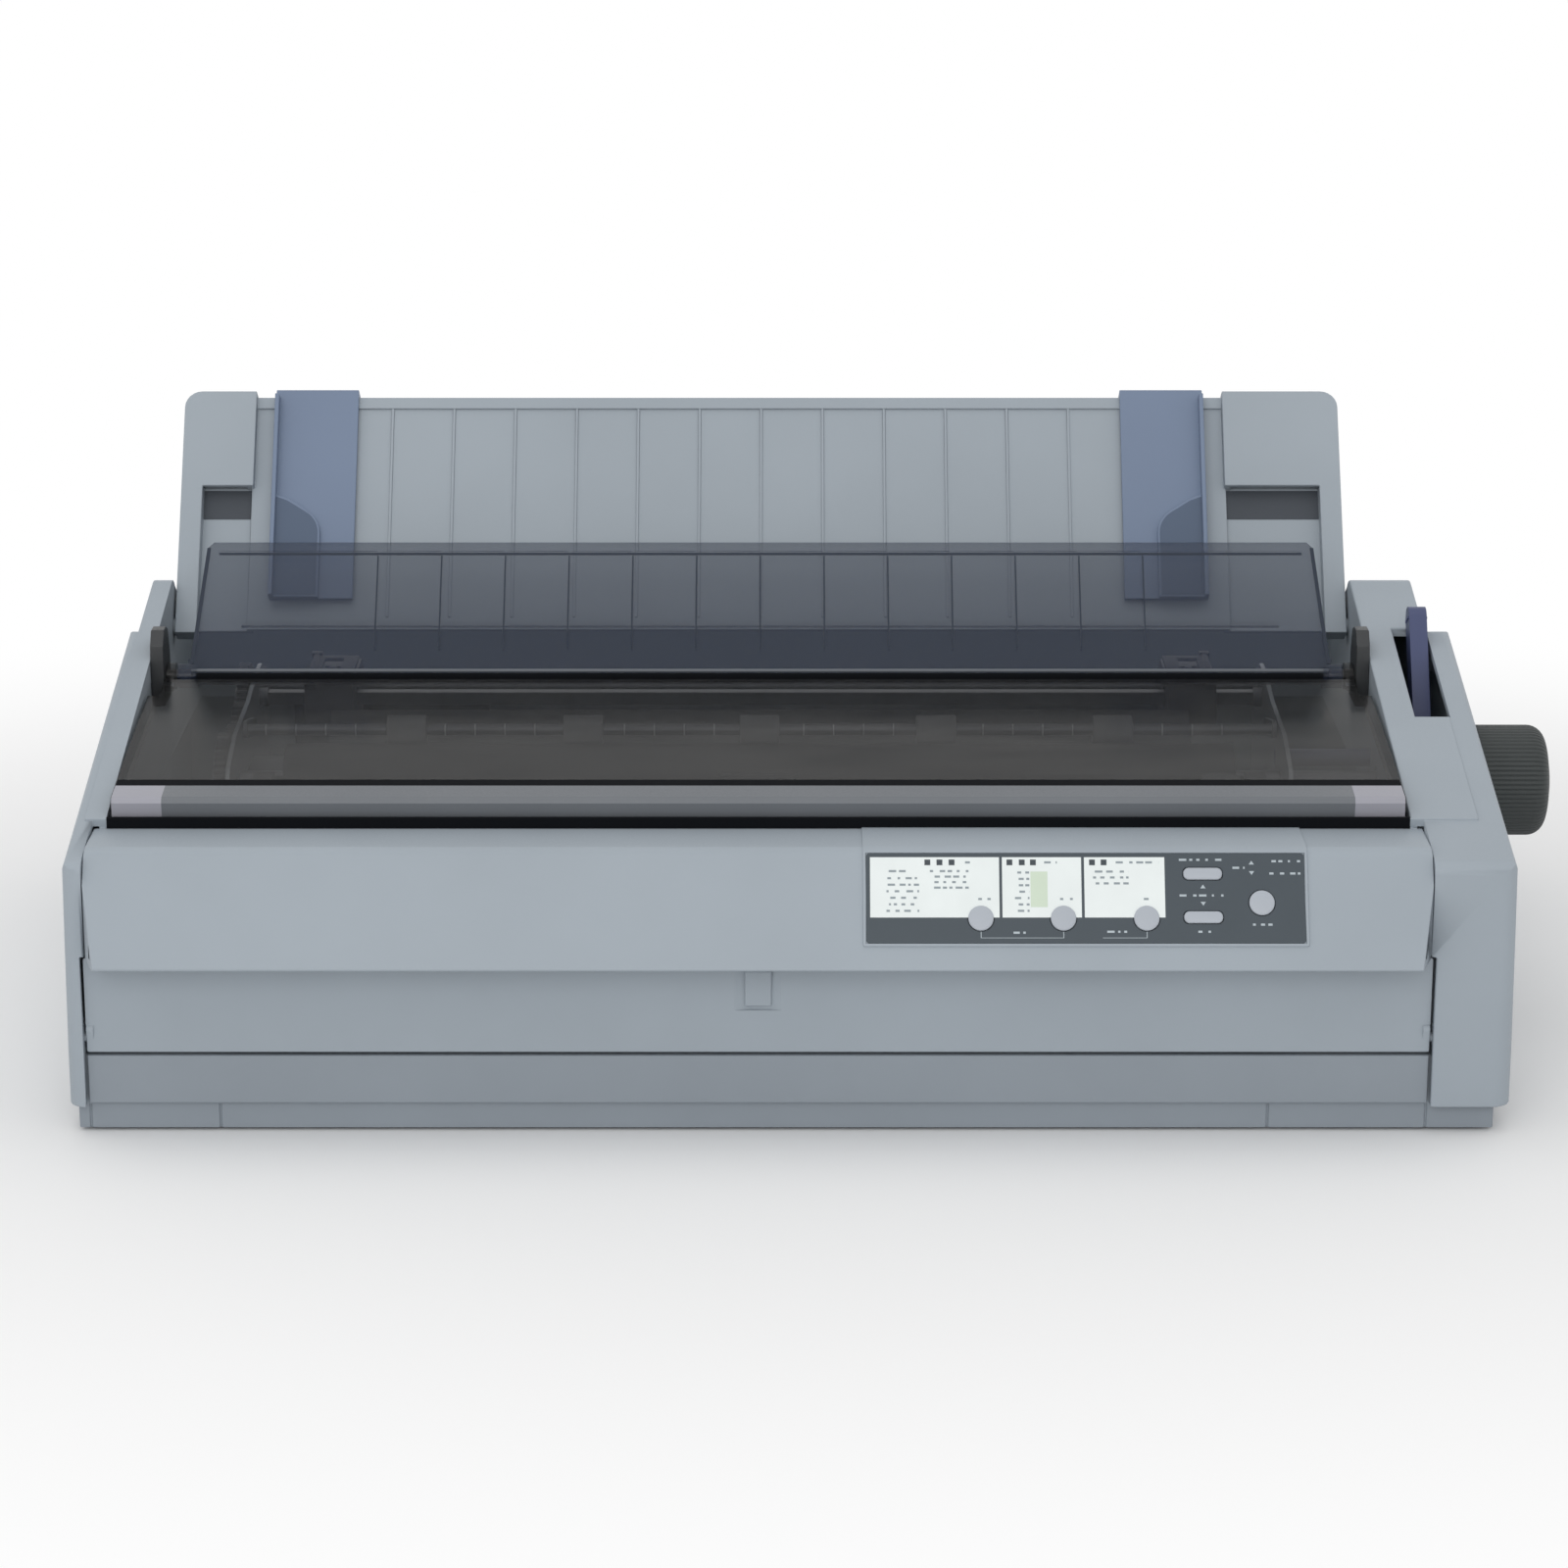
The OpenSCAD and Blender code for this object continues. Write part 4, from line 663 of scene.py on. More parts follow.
class PRINTER_OT_stage(Operator):
    """Adds the camera, the lamps, the white surroundings and the pale floor"""
    bl_idname = "printer.stage"
    bl_label = "Stage"

    AIM = (-19.7, -183.0, 120.0)  # the middle of the front of the wings, in millimetres
    AIM_ABOVE = 32.3
    SENSOR = 36.0
    SIGHT = 50.0  # metres that the camera sees
    FLOOR_HALF = 12.0
    SHADOW_ENDS = (0.28, 0.75)  # metres from the middle at which the floor turns white
    # Where each lamp stands, what it looks at, its size and its power
    SOFTBOXES = {"overhead_softbox": ((-0.25, -0.35, 1.9), (0, -0.05, 0.1), (2.2, 1.6), 6.5),
                 "front_softbox": ((-0.3, -2.4, 1.2), (0, 0, 0.1), (1.8, 1.2), 15)}

    def execute(self, context):
        scene = context.scene
        stage = look().stage
        scene.view_settings.view_transform = "Standard"
        self.add_camera(scene, stage)
        self.add_world(scene, stage)
        self.add_floor()
        for name, lamp in self.SOFTBOXES.items():
            self.add_lamp(name, *lamp)
        return {"FINISHED"}

    def add_camera(self, scene, stage):
        """The photo's view: level sideways, looking down, aimed a little above the front of the wings."""
        forward = Vector((0, math.cos(stage.elevation), -math.sin(stage.elevation)))
        up = Vector((0, math.sin(stage.elevation), math.cos(stage.elevation)))
        aim = Vector(self.AIM) * MM + up * self.AIM_ABOVE * MM
        camera = placed("photo_camera", bpy.data.cameras.new("photo_camera"))
        camera.data.sensor_width = self.SENSOR
        camera.data.lens = stage.lens
        camera.data.clip_end = self.SIGHT
        camera.location = aim - forward * stage.distance
        camera.rotation_euler = forward.to_track_quat("-Z", "Y").to_euler()
        scene.camera = camera

    def seen(self, tree):
        """1 for what the camera, a reflection or a clear piece sees, and 0 for what only gives light."""
        ray = add(tree, "ShaderNodeLightPath")
        most = ray.outputs["Is Camera Ray"]
        for kind in ("Is Glossy Ray", "Is Transmission Ray"):
            most = add(tree, "ShaderNodeMath", {0: most, 1: ray.outputs[kind]}, operation="MAXIMUM")
        return most

    def add_world(self, scene, stage):
        """Light of one even level, and plain white where the camera, a reflection or a clear piece sees."""
        scene.world = bpy.data.worlds.new("white_surroundings")
        scene.world.use_nodes = True
        tree = scene.world.node_tree
        tree.nodes.clear()
        strength = ranged(tree, self.seen(tree), stage.sky, 1.0)
        white = add(tree, "ShaderNodeBackground", {"Color": (1, 1, 1, 1), "Strength": strength})
        add(tree, "ShaderNodeOutputWorld", {"Surface": white})

    def add_floor(self):
        """A pale painted floor that takes the printer's shadow, and runs into the white beyond it."""
        half = self.FLOOR_HALF
        square = [(-half, -half, 0), (half, -half, 0), (half, half, 0), (-half, half, 0)]
        mesh = bpy.data.meshes.new("floor")
        mesh.from_pydata(square, [], [(0, 1, 2, 3)])
        floor = placed("floor", mesh)
        material, tree, where = new_material("floor_paint")
        paint = add(tree, "ShaderNodeBsdfPrincipled", {
            "Base Color": shades(tree, noise(tree, where, 300 * MM, 2.0), linear("#F6F6F6"), 0.004),
            "Roughness": 0.8, "Specular IOR Level": 0.1})
        oval = scaled(tree, where, 0.7, 1.0, 1.0)
        away = add(tree, "ShaderNodeVectorMath", {0: oval}, operation="LENGTH").outputs["Value"]
        beyond = ranged(tree, away, 0.0, 1.0, self.SHADOW_ENDS, interpolation_type="SMOOTHSTEP")
        share = add(tree, "ShaderNodeMath", {0: self.seen(tree), 1: beyond}, operation="MULTIPLY")
        white = add(tree, "ShaderNodeEmission", {"Color": (1, 1, 1, 1), "Strength": 1.0})
        end_with(tree, add(tree, "ShaderNodeMixShader", {0: share, 1: paint, 2: white}))
        mesh.materials.append(material)

    def add_lamp(self, name, at, target, size, power):
        lamp = bpy.data.lights.new(name, "AREA")
        lamp.shape = "RECTANGLE"
        lamp.size, lamp.size_y = size
        lamp.energy = power
        holder = placed(name, lamp)
        holder.location = at
        holder.rotation_euler = (Vector(target) - Vector(at)).to_track_quat("-Z", "Y").to_euler()


class PRINTER_OT_casing(Dresser, Operator):
    """Finishes the moulded casing: the upper and lower case, the front cover and the feet, and adds the
    gauze behind the rear vents"""
    bl_idname = "printer.casing"
    bl_label = "Casing"

    FINISHES = [("casing_abs", None, "upper_case front_cover"), ("base_abs", 0.6, "lower_case"),
                ("foot_rubber", 0.3, "rubber_feet")]
    GAUZE = [(380.2, 64), (380.9, 64), (380.9, 96), (380.2, 96)]  # y and z, just inside the rear wall
    GAUZE_ENDS = (-233.0, -136.0)

    def add_pieces(self):
        new_piece("vent_gauze", bar(self.GAUZE, *self.GAUZE_ENDS), place, "black_and_painted_shade", "case",
                  "black_plastic")


class PRINTER_OT_smoke_covers(Dresser, Operator):
    """Finishes the tinted printer cover, the rear lid and the brackets that hold them, and adds strips of painted
    light, highlight, shade and shadow on them and on the front edge of the well"""
    bl_idname = "printer.smoke_covers"
    bl_label = "Smoke Covers"

    FINISHES = [("cover_smoke_acrylic", 0.5, "printer_cover"), ("lid_smoke_acrylic", 0.3, "rear_lid"),
                ("bracket_abs", 0.5, "hinge_brackets")]
    # Sections along the cover from its hinge and out of its hinge plane
    # The band on the lip's front is painted light: an opaque grey, lighter at its ends, for the light seen through
    # the smoke lip
    BAND = [(-148.62, -8.3), (-148.62, 0.45), (-147.6, 1.98), (-146.05, 2.54), (-134.2, 2.54), (-134.2, 2.3),
            (-146.0, 2.3), (-147.3, 1.85), (-148.4, 0.4), (-148.4, -8.3)]
    # A near-black line of painted shade on the cover, just behind the lip
    DARK_LINE = [(-134.2, 2.3), (-134.2, 2.52), (-127.6, 2.52), (-127.6, 2.3)]
    COVER_HALF = 271.6
    BAND_END = 21.0  # length of the band's lighter ends
    # A black strip of painted shade stands on the front edge of the well, in the gap that the cover's lip closes
    # on: y and z of its section
    SEAL = [(35.6, 123.95), (37.35, 123.95), (37.35, 128.4), (37.1, 128.65), (35.9, 128.65), (35.6, 128.4)]
    SEAL_HALF = 273.4
    HINGE = COVER[:2]
    HINGE_R = 4.0
    HINGE_HALF = 256.0
    # A thin lighter bar along the hinge bar is a painted highlight
    BEAD_R = 0.9
    BEAD_TURN = 130  # turns round the hinge bar, in degrees up from the rear
    # Where the black arc of painted shadow turns round the hinge bar, in degrees up from the rear
    FELT_TURNS = (148, 208)
    # On the lid: x from its middle and height up it from its hinge
    # Strips of painted shade on the lid's cut edges and under its top step
    LID_SIDE = [(-257.3, 5.5), (-255.6, 5.5), (-250.8, 64.0), (-252.5, 64.0)]
    LID_STEP = [(-247.0, 60.4), (247.0, 60.4), (247.0, 61.6), (-247.0, 61.6)]
    RIB_PITCH = 29.06
    RIB_HALF = 0.35
    RIB_ENDS = (14.0, 60.0)
    FACE = 1.25  # the lid's front face, from the middle of its thickness

    def add_pieces(self):
        self.add_lip()
        self.add_hinge_line()
        self.add_lid_lines()

    def add_lip(self):
        """Painted light on the cover's lip: an opaque band, lighter at its ends, stands in for the light seen
        through the lip. Behind it lies a line of painted shade, and a black strip of painted shade stands on the
        well's front edge, in the gap that the lip closes on: sections carried across the printer."""
        half, inner = self.COVER_HALF, self.COVER_HALF - self.BAND_END
        for name, section, ends, paint, slot in (
                ("cover_lip_painted_light", self.BAND, (-inner, inner), "lip_painted_light", "case_plastic"),
                ("cover_lip_tips_painted_light_left", self.BAND, (-half, -inner), "lip_tips_painted_light", "white_plastic"),
                ("cover_lip_tips_painted_light_right", self.BAND, (inner, half), "lip_tips_painted_light", "white_plastic"),
                ("cover_painted_shade_line", self.DARK_LINE, (-half, half), "black_and_painted_shade", "black_plastic")):
            new_piece(name, bar(section, *ends), on_cover, paint, "printer_cover", slot)
        # Painted shade in the gap in front of the cover's lip
        new_piece("well_edge_painted_shade", bar(self.SEAL, -self.SEAL_HALF, self.SEAL_HALF), place, "black_and_painted_shade",
                  "case", "black_plastic")

    def add_hinge_line(self):
        """A fine line of painted highlight and a dark strip of painted shadow along the lid's hinge bar, where the
        cover's rear edge is.
        """
        half, bar_r = self.HINGE_HALF, self.HINGE_R
        turn = math.radians(self.BEAD_TURN)
        at = np.array([math.cos(turn), math.sin(turn)]) * bar_r + self.HINGE
        profile = [(-half, 0), (-half, self.BEAD_R), (half, self.BEAD_R), (half, 0)]
        new_piece("lid_hinge_painted_highlight", turned([0], at, profile, steps=12), place, "painted_highlight_plastic", "rear_lid",
                  "smoke_plastic", shading="creased")
        # The painted shadow's section is an arc of the bar with a little thickness
        turns = np.radians(np.linspace(*self.FELT_TURNS, 9))
        arc = np.stack([np.cos(turns), np.sin(turns)], axis=1)
        section = np.concatenate([(bar_r + 0.35) * arc, (bar_r - 0.1) * arc[::-1]]) + self.HINGE
        new_piece("lid_hinge_painted_shadow", bar(section, -half, half), place, "black_and_painted_shade", "rear_lid",
                  "black_plastic")

    def add_lid_lines(self):
        """Painted shade on the lid's cut edges and under the step of its top strip, and lines of painted shadow
        along its ribs.
        """
        inside = self.FACE - 0.1
        sides = [[(way * x, s) for x, s in self.LID_SIDE] for way in (1, -1)]
        rim = prisms([*sides, self.LID_STEP], inside, self.FACE + 0.12)
        new_piece("lid_painted_edge_shade", rim, on_lid, "painted_lid_shade", "rear_lid", "smoke_plastic")
        # Thin lines of painted shadow along the ribs
        ribs = [(x - self.RIB_HALF, x + self.RIB_HALF, *self.RIB_ENDS)
                for x in self.RIB_PITCH * np.arange(-6, 7)]
        new_piece("lid_rib_painted_shadows", plates(ribs, inside, self.FACE + 0.08), on_lid, "painted_lid_shade", "rear_lid",
                  "smoke_plastic")


class PRINTER_OT_sheet_guide(Dresser, Operator):
    """Finishes the sheet guide and its two sliding edge guides, and adds painted shade in the sheet guide's
    pockets and on the edge guides' thick blocks
    """
    bl_idname = "printer.sheet_guide"
    bl_label = "Sheet Guide"

    FINISHES = [("casing_abs", 0.5, "sheet_guide"),
                ("edge_guide_abs", 0.4, "edge_guide_left edge_guide_right")]
    # Plates of painted shade in the pockets of the side pads: across from and to, up from and to
    POCKETS = [(-263.3, -238.9, 54.0, 68.3), (218.2, 263.3, 54.0, 68.3)]
    POCKET_FLOOR = -1.0
    BLOCK_TOP = 7.8  # top of the edge guides' thick blocks
    BLOCK_TURN = (10, 44)  # middle of the arc of a block's corner
    BLOCK_TURN_R = 12
    BLOCK_ENDS = {"edge_guide_left": (-229.5, 1), "edge_guide_right": (208.7, -1)}

    def add_pieces(self):
        painted_shade_plates = plates(self.POCKETS, self.POCKET_FLOOR - 0.1, self.POCKET_FLOOR + 0.3)
        new_piece("pocket_painted_shade_plates", painted_shade_plates, on_guide, "pocket_painted_shade_abs", "sheet_guide", "black_plastic")
        # A darker top of painted shade on each edge guide's thick block
        for node, (start, way) in self.BLOCK_ENDS.items():
            outline = self.block() * (way, 1) + (start, 0)
            panel = prisms([outline], self.BLOCK_TOP - 0.1, self.BLOCK_TOP + 0.25)
            new_piece(node + "_panel", panel, on_guide, "guide_block_painted_shade", BODY_OF[node],
                      "dark_blue_plastic")

    def block(self):
        """The thick block's outline, 1 mm inside it: straight sides and a corner turned on an arc."""
        turn = np.radians(np.linspace(60, 0, 8))
        arc = np.stack([np.cos(turn), np.sin(turn)], axis=1) * self.BLOCK_TURN_R + self.BLOCK_TURN
        return np.concatenate([[(1, 13), (1, 62.4), (7.4, 60.0)], arc, [(22, 13)]])


class PRINTER_OT_control_panel(Dresser, Operator):
    """Adds the printing on the control panel and finishes its film and its board"""
    bl_idname = "printer.control_panel"
    bl_label = "Control Panel"

    FINISHES = [("panel_film", 0.15, "panel_overlay"), ("circuit_board", 0, "panel_board")]
    INK = 0.06  # thickness of a printed field
    FIELDS = [(46.3, 99.6), (100.8, 133.5), (134.7, 167.9)]
    FIELD_DOWN = (3.9, 29.4)
    LAMPS = [70.0, 75.0, 80.0, 103.9, 109.0, 113.6, 138.0, 142.8]
    LAMP_DOWN = 6.1
    LAMP = 1.2  # half the side of a lamp window
    WORD = (0.8, 3.2)  # least and most length of a word or a gap of small print
    MOST_WORDS = 24
    LETTER = 0.45  # half the height of small print
    # Small print, as rows of bars: across from and to, down from and to, and how many rows
    DARK_PRINT = [(52.0, 61.0, 9.8, 9.8, 1), (52.0, 66.5, 12.8, 26.6, 6), (70.0, 87.0, 9.8, 16.8, 4),
                  (82.5, 89.0, 6.1, 6.1, 1), (115.5, 123.5, 6.1, 6.1, 1), (105.0, 112.0, 10.4, 26.6, 7),
                  (145.5, 165.5, 6.1, 6.1, 1), (137.5, 153.0, 10.0, 15.0, 3), (88.0, 96.0, 21.6, 21.6, 1),
                  (121.5, 130.0, 21.6, 21.6, 1), (158.0, 162.5, 21.6, 21.6, 1)]
    LIGHT_PRINT = [(172.5, 191.5, 5.0, 5.0, 1), (171.0, 192.0, 20.1, 20.1, 1), (178.5, 186.5, 35.4, 35.4, 1),
                   (193.5, 201.0, 8.4, 8.4, 1), (210.0, 224.0, 5.6, 10.8, 2), (201.0, 212.0, 32.4, 32.4, 1),
                   (103.5, 112.5, 35.8, 35.8, 1), (142.0, 152.0, 35.4, 35.4, 1)]
    GREEN_FIELD = (112.5, 119.5, 10.0, 25.0)
    # Fine lines below the round buttons: across from and to, down from and to
    LINES = [(91.75, 92.05, 35.4, 38.1), (125.75, 126.05, 35.4, 38.1), (160.05, 160.35, 35.4, 38.1),
             (92.0, 125.8, 37.9, 38.1), (142.0, 160.1, 37.9, 38.1)]
    ARROW = (1.1, 0.8)  # half the width and half the height of an arrow
    ARROWS = [(183.6, 16.3, -1), (183.6, 23.6, 1), (203.8, 6.2, -1), (203.8, 10.6, 1)]

    def add_pieces(self):
        fields = [(x0, x1, *self.FIELD_DOWN) for x0, x1 in self.FIELDS]
        lamp, down = self.LAMP, self.LAMP_DOWN
        lamps = [(x - lamp, x + lamp, down - lamp, down + lamp) for x in self.LAMPS]
        light = self.greeked(self.LIGHT_PRINT, 12) + self.LINES
        on_film, on_field = OVERLAY_H, OVERLAY_H + self.INK
        for name, rectangles, low, ink in (
                ("panel_white_fields", fields, on_film, "panel_white_ink"),
                ("panel_lamp_windows", lamps, on_field, "lamp_lens"),
                ("panel_grey_legends", self.greeked(self.DARK_PRINT, 1), on_field, "panel_grey_ink"),
                ("panel_green_field", [self.GREEN_FIELD], on_field, "panel_green_ink"),
                ("panel_light_legends", light, on_film, "panel_light_ink")):
            new_piece(name, plates(rectangles, low, low + self.INK), on_nose, ink, "case", "panel_film")
        arrows = prisms(self.arrows(), on_film, on_film + self.INK)
        new_piece("panel_arrows", arrows, on_nose, "panel_light_ink", "case", "panel_film")

    def greeked(self, blocks, first_seed):
        """Short bars where a panel has small print. Words and gaps have seeded random lengths."""
        bars = []
        for seed, (x0, x1, t0, t1, rows) in enumerate(blocks, first_seed):
            random = np.random.default_rng(seed)
            for down in np.linspace(t0, t1, rows):
                ends = x0 + np.cumsum(random.uniform(*self.WORD, self.MOST_WORDS))
                bars += [(start, min(end, x1), down - self.LETTER, down + self.LETTER)
                         for start, end in zip(ends[:-1:2], ends[1::2]) if start < x1]
        return bars

    def arrows(self):
        """Small triangles that point up or down the panel."""
        half, tall = self.ARROW
        return [[(x - half, t - way * tall), (x + half, t - way * tall), (x, t + way * tall)]
                for x, t, way in self.ARROWS]


class PRINTER_OT_buttons(Dresser, Operator):
    """Adds the domed push buttons of the control panel"""
    bl_idname = "printer.buttons"
    bl_label = "Push Buttons"

    # Across, down, half width, half height and corner radius, the same as the holes that they stand in
    ROUND = (5.25, 5.25, 5.25)
    BAR = (8.0, 2.5, 2.3)
    BUTTONS = {"select_button_1": (91.9, 29.7, *ROUND), "select_button_2": (125.9, 29.7, *ROUND),
               "select_button_3": (160.2, 29.7, *ROUND), "pause_button": (207.8, 23.2, *ROUND),
               "feed_button_upper": (183.6, 10.9, *BAR), "feed_button_lower": (183.6, 29.3, *BAR)}
    STEM_R = 1.8
    STEM_FOOT = -8.1  # heights above the nose's face
    FLANGE = (-5.1, -3.3)
    FLANGE_GROW = 1.4
    CROWN = (0.75, 1.25, 1.42)  # where the edge starts to turn, where it ends, the middle
    TURN_IN = 0.75  # how far in the edge has turned where the dome begins

    def add_pieces(self):
        for node, button in self.BUTTONS.items():
            new_piece(node + "_domed", self.surface(*button), on_nose, "button_abs", BODY_OF[node],
                      SLOT_OF[node], node, shading="creased")

    def surface(self, across, down, half_w, half_h, corner):
        """A closed surface of rings: a stem, a flange, straight sides, a rounded edge and a dome. Each ring
        is a rectangle with its corners turned on quarter circles, and ends of no size close it."""
        start, edge, middle = self.CROWN
        turn = np.linspace(0, math.pi / 2, 7)
        inset = self.TURN_IN
        stem = [(h, -half_w + r, -half_h + r, -corner + r) for h, r in
                ((self.STEM_FOOT, 0), (self.STEM_FOOT, self.STEM_R), (self.FLANGE[0], self.STEM_R))]
        side = [(h, grow, grow, grow) for h, grow in
                ((self.FLANGE[0], self.FLANGE_GROW), (self.FLANGE[1], self.FLANGE_GROW), (self.FLANGE[1], 0))]
        crown = [(start + (edge - start) * math.sin(a), *[-inset * (1 - math.cos(a))] * 3) for a in turn]
        # The dome falls from the middle with the square of the share of the way out
        dome = [(middle - (middle - edge) * share ** 2, (half_w - inset) * share - half_w,
                 (half_h - inset) * share - half_h, (corner - inset) * share - corner)
                for share in np.linspace(1, 0, 7)[1:]]
        rows = np.array(stem + side + crown + dome)
        h, grow_w, grow_h, grow_corner = rows.T[:, :, None]
        angle = np.linspace(0, math.pi / 2, 13)[None] + np.arange(4)[:, None] * math.pi / 2
        middle_of = angle.mean(axis=1, keepdims=True) + 0 * angle
        angle, middle_of = angle.ravel()[None], middle_of.ravel()[None]
        r = corner + grow_corner
        x = np.sign(np.cos(middle_of)) * (half_w + grow_w - r) + r * np.cos(angle)
        t = np.sign(np.sin(middle_of)) * (half_h + grow_h - r) + r * np.sin(angle)
        points = np.stack([across + x, down + t, h + 0 * x], axis=-1).reshape(-1, 3)
        return points, grid_faces(len(rows), angle.size)


class PRINTER_OT_knob(Dresser, Operator):
    """Adds the ribbed paper feed knob"""
    bl_idname = "printer.knob"
    bl_label = "Paper Feed Knob"

    RIB_DEPTH = 0.55
    ROUND = 1.5  # power of the cosine that makes a groove round
    SHOULDER = 7.5
    DOME = 2.2

    def add_pieces(self):
        low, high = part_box("platen_knob")
        centre = PIVOT["platen_spin"]
        radius = (high.z - low.z) / 2 / MM
        length = (high.x - low.x) / MM
        steps = 10 * look().knob_ribs
        angle = np.linspace(0, 2 * math.pi, steps, endpoint=False)
        along, out, ribbed = self.profile(radius, length)
        # Between ribs, the radius falls by a power of the positive part of a cosine of the angle
        groove = np.clip(np.cos(look().knob_ribs * angle), 0, 1) ** self.ROUND * self.RIB_DEPTH
        r = out[:, None] - ribbed[:, None] * groove[None, :]
        x = np.broadcast_to(along[:, None], r.shape)
        y, z = centre.y + r * MM * np.cos(angle), centre.z + r * MM * np.sin(angle)
        points = np.stack([x * MM + low.x, y, z], axis=-1).reshape(-1, 3)
        # These points are in the row frame already
        new_piece("platen_knob_ribbed", (points, grid_faces(len(along), steps)), np.asarray, "knob_abs",
                  "platen", SLOT_OF["platen_knob"], "platen_knob", shading="smooth")

    def profile(self, radius, length):
        """Half section of the knob: a flat back, a straight ribbed grip, a round shoulder and a slight dome.
        Gives the distance along the axis, the radius and how deep the ribs are there."""
        turn = np.linspace(0, math.pi / 2, 9)
        s, dome = self.SHOULDER, self.DOME
        back = [(0.0, 0.0, 0), (0.0, radius - 5, 0), (0.0, radius - 1.6, 0), (0.35, radius - 0.7, 0),
                (1.0, radius - 0.2, 0)]
        grip = [(x, radius, 1) for x in np.linspace(2.4, length - dome - s, 6)]
        shoulder = [(length - dome - s + s * math.sin(a), radius - s + s * math.cos(a), math.cos(a) ** 0.5)
                    for a in turn[1:-1]]
        end = [(length - dome * (r / (radius - s)) ** 2, r, 0) for r in np.linspace(radius - s, 0, 7)]
        return np.array(back + grip + shoulder + end).T


class PRINTER_OT_levers(Dresser, Operator):
    """Finishes the paper release lever, the thickness lever and the power switch"""
    bl_idname = "printer.levers"
    bl_label = "Levers"

    FINISHES = [("lever_abs", 0.5, "release_lever"), ("edge_guide_abs", 0.3, "thickness_lever"),
                ("black_abs", 0.3, "power_switch")]


class PRINTER_OT_chassis(Dresser, Operator):
    """Finishes the sheet-metal chassis, its rods and its screws"""
    bl_idname = "printer.chassis"
    bl_label = "Chassis"

    FINISHES = [("zinc_sheet", 0.2, "left_frame right_frame base_plate carriage_rail"),
                ("rod_steel", 0.3, "guide_rod tractor_guide_shaft"), ("ground_steel", 0.2, "chassis_screws")]


class PRINTER_OT_print_unit(Dresser, Operator):
    """Finishes the carriage, the print head, the ribbon cartridge and the belt drive"""
    bl_idname = "printer.print_unit"
    bl_label = "Print Unit"

    FINISHES = [("black_abs", 0.4, "carriage ribbon_cartridge"), ("head_aluminium", 0.2, "print_head"),
                ("ribbon_nylon", 0, "ribbon"), ("knob_abs", 0.2, "ribbon_knob"),
                ("platen_rubber", 0, "drive_belt"), ("motor_steel", 0.5, "carriage_motor"),
                ("gear_acetal", 0.15, "motor_pulley idler_pulley")]


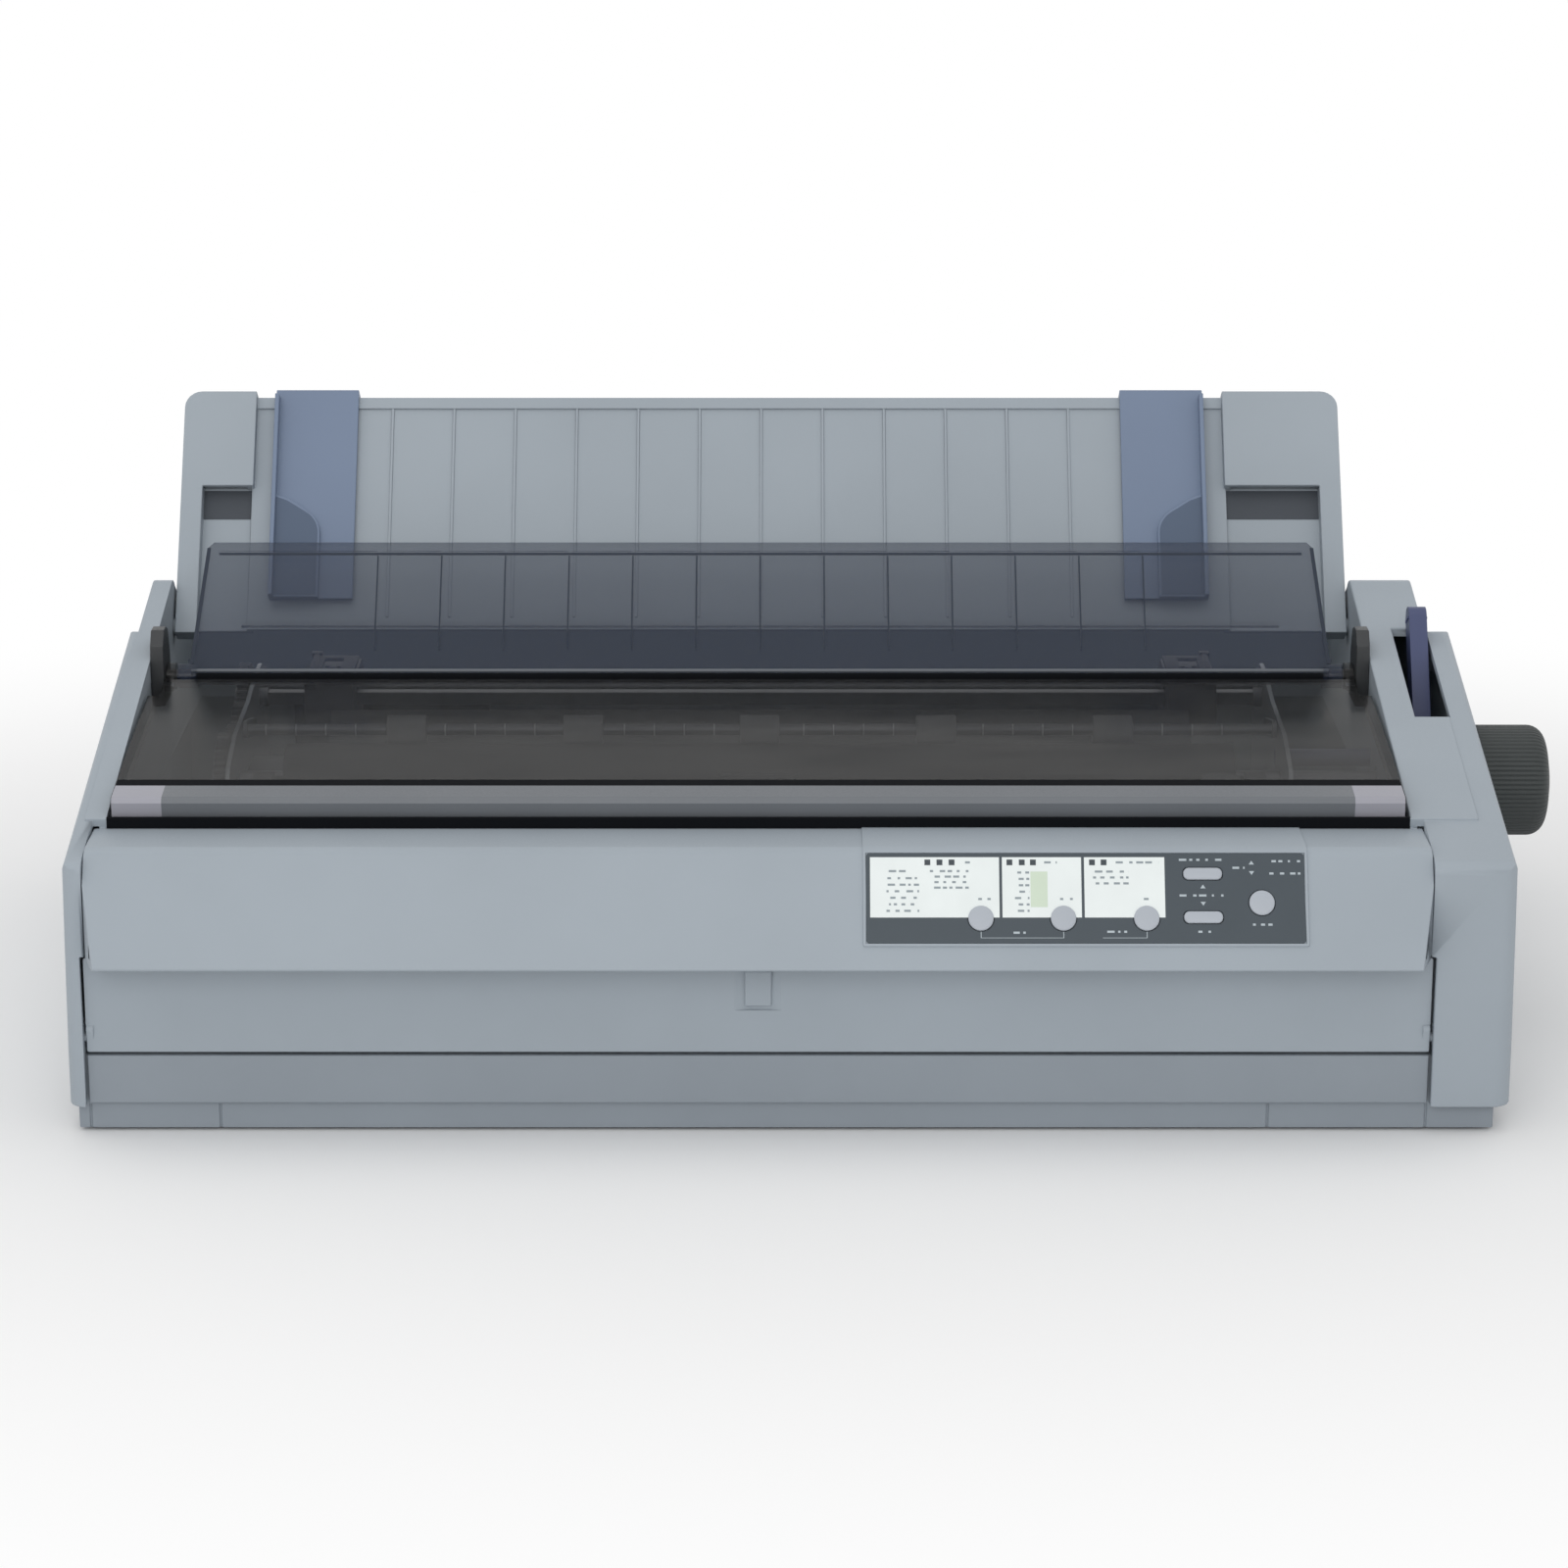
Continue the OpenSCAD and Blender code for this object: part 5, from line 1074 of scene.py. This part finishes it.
class PRINTER_OT_paper_feed(Dresser, Operator):
    """Finishes the platen, its gears and motor, the paper bail and the tractors"""
    bl_idname = "printer.paper_feed"
    bl_label = "Paper Feed"

    FINISHES = [("platen_rubber", 0.5, "platen"), ("rod_steel", 0.3, "platen_shaft tractor_drive_shaft"),
                ("gear_acetal", 0.12, "platen_gear idler_gear tractor_idler_gear tractor_gear"),
                ("ground_steel", 0.1, "feed_pinion"), ("motor_steel", 0.5, "feed_motor"),
                ("rod_steel", 0.2, "paper_bail"), ("roller_rubber", 0.6, "bail_rollers"),
                ("black_abs", 0.3, "tractor_left tractor_right tractor_cover_left tractor_cover_right"),
                ("black_abs", 0.3, "lower_paper_guide"),
                ("gear_acetal", 0.2, "tractor_sprocket_left tractor_sprocket_right")]
    BAIL_AXIS = (156.5, 133.9)
    TICKS = (-219.8, 219.0)
    TICK_PITCH = 13.3
    TICK_HALF = 0.3
    TICK_R = (2.3, 2.63)
    ROLLER_PITCH = 78.5
    ROLLER_HALF = 10  # half a bail roller, with a little room

    def add_pieces(self):
        inner, outer = self.TICK_R
        w = self.TICK_HALF
        ring = [(-w, inner), (-w, outer), (w, outer), (w, inner), (-w, inner)]
        at = np.arange(*self.TICKS, self.TICK_PITCH)
        from_roller = (at + self.ROLLER_PITCH / 2) % self.ROLLER_PITCH - self.ROLLER_PITCH / 2
        ticks = turned(at[np.abs(from_roller) >= self.ROLLER_HALF], self.BAIL_AXIS, ring)
        new_piece("bail_column_ticks", ticks, place, "tick_paint", "paper_bail", "white_plastic",
                  shading="creased")


class PRINTER_OT_electronics(Dresser, Operator):
    """Finishes the boards, the sockets and the mains inlet"""
    bl_idname = "printer.electronics"
    bl_label = "Electronics"

    FINISHES = [("circuit_board", 0, "main_board power_supply"),
                ("zinc_sheet", 0.2, "interface_connectors"), ("black_abs", 0.3, "mains_inlet")]


OPERATORS = (PRINTER_OT_stage, PRINTER_OT_casing, PRINTER_OT_smoke_covers, PRINTER_OT_sheet_guide,
             PRINTER_OT_control_panel, PRINTER_OT_buttons, PRINTER_OT_knob, PRINTER_OT_levers,
             PRINTER_OT_chassis, PRINTER_OT_print_unit, PRINTER_OT_paper_feed, PRINTER_OT_electronics)


class PRINTER_PT_sidebar(Panel):
    """Lists the printer's operators and settings in the 3D view's sidebar"""
    bl_idname = "PRINTER_PT_sidebar"
    bl_label = "Dot Matrix Printer"
    bl_space_type = "VIEW_3D"
    bl_region_type = "UI"
    bl_category = "Printer"

    def draw(self, context):
        for operator in OPERATORS:
            self.layout.operator(operator.bl_idname)
        settings = context.scene.printer_look
        for group in (settings.casing, settings.smoke, settings.accent, settings.stage):
            column = self.layout.column(heading=type(group).__name__)
            for name in group.__annotations__:
                column.prop(group, name)
        self.layout.prop(settings, "knob_ribs")


CLASSES = (CasingLook, SmokeLook, AccentLook, StageLook, PrinterLook, *OPERATORS, PRINTER_PT_sidebar)


def register():
    for cls in CLASSES:
        bpy.utils.register_class(cls)
    bpy.types.Scene.printer_look = PointerProperty(type=PrinterLook)


def unregister():
    del bpy.types.Scene.printer_look
    for cls in reversed(CLASSES):
        bpy.utils.unregister_class(cls)


def corners(box):
    return [[float(value) for value in corner] for corner in box]


def main():
    """Registers the add-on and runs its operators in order."""
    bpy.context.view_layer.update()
    register()
    for operator in OPERATORS:
        group, name = operator.bl_idname.split(".")
        getattr(getattr(bpy.ops, group), name)()


if __name__ == "__main__":
    main()
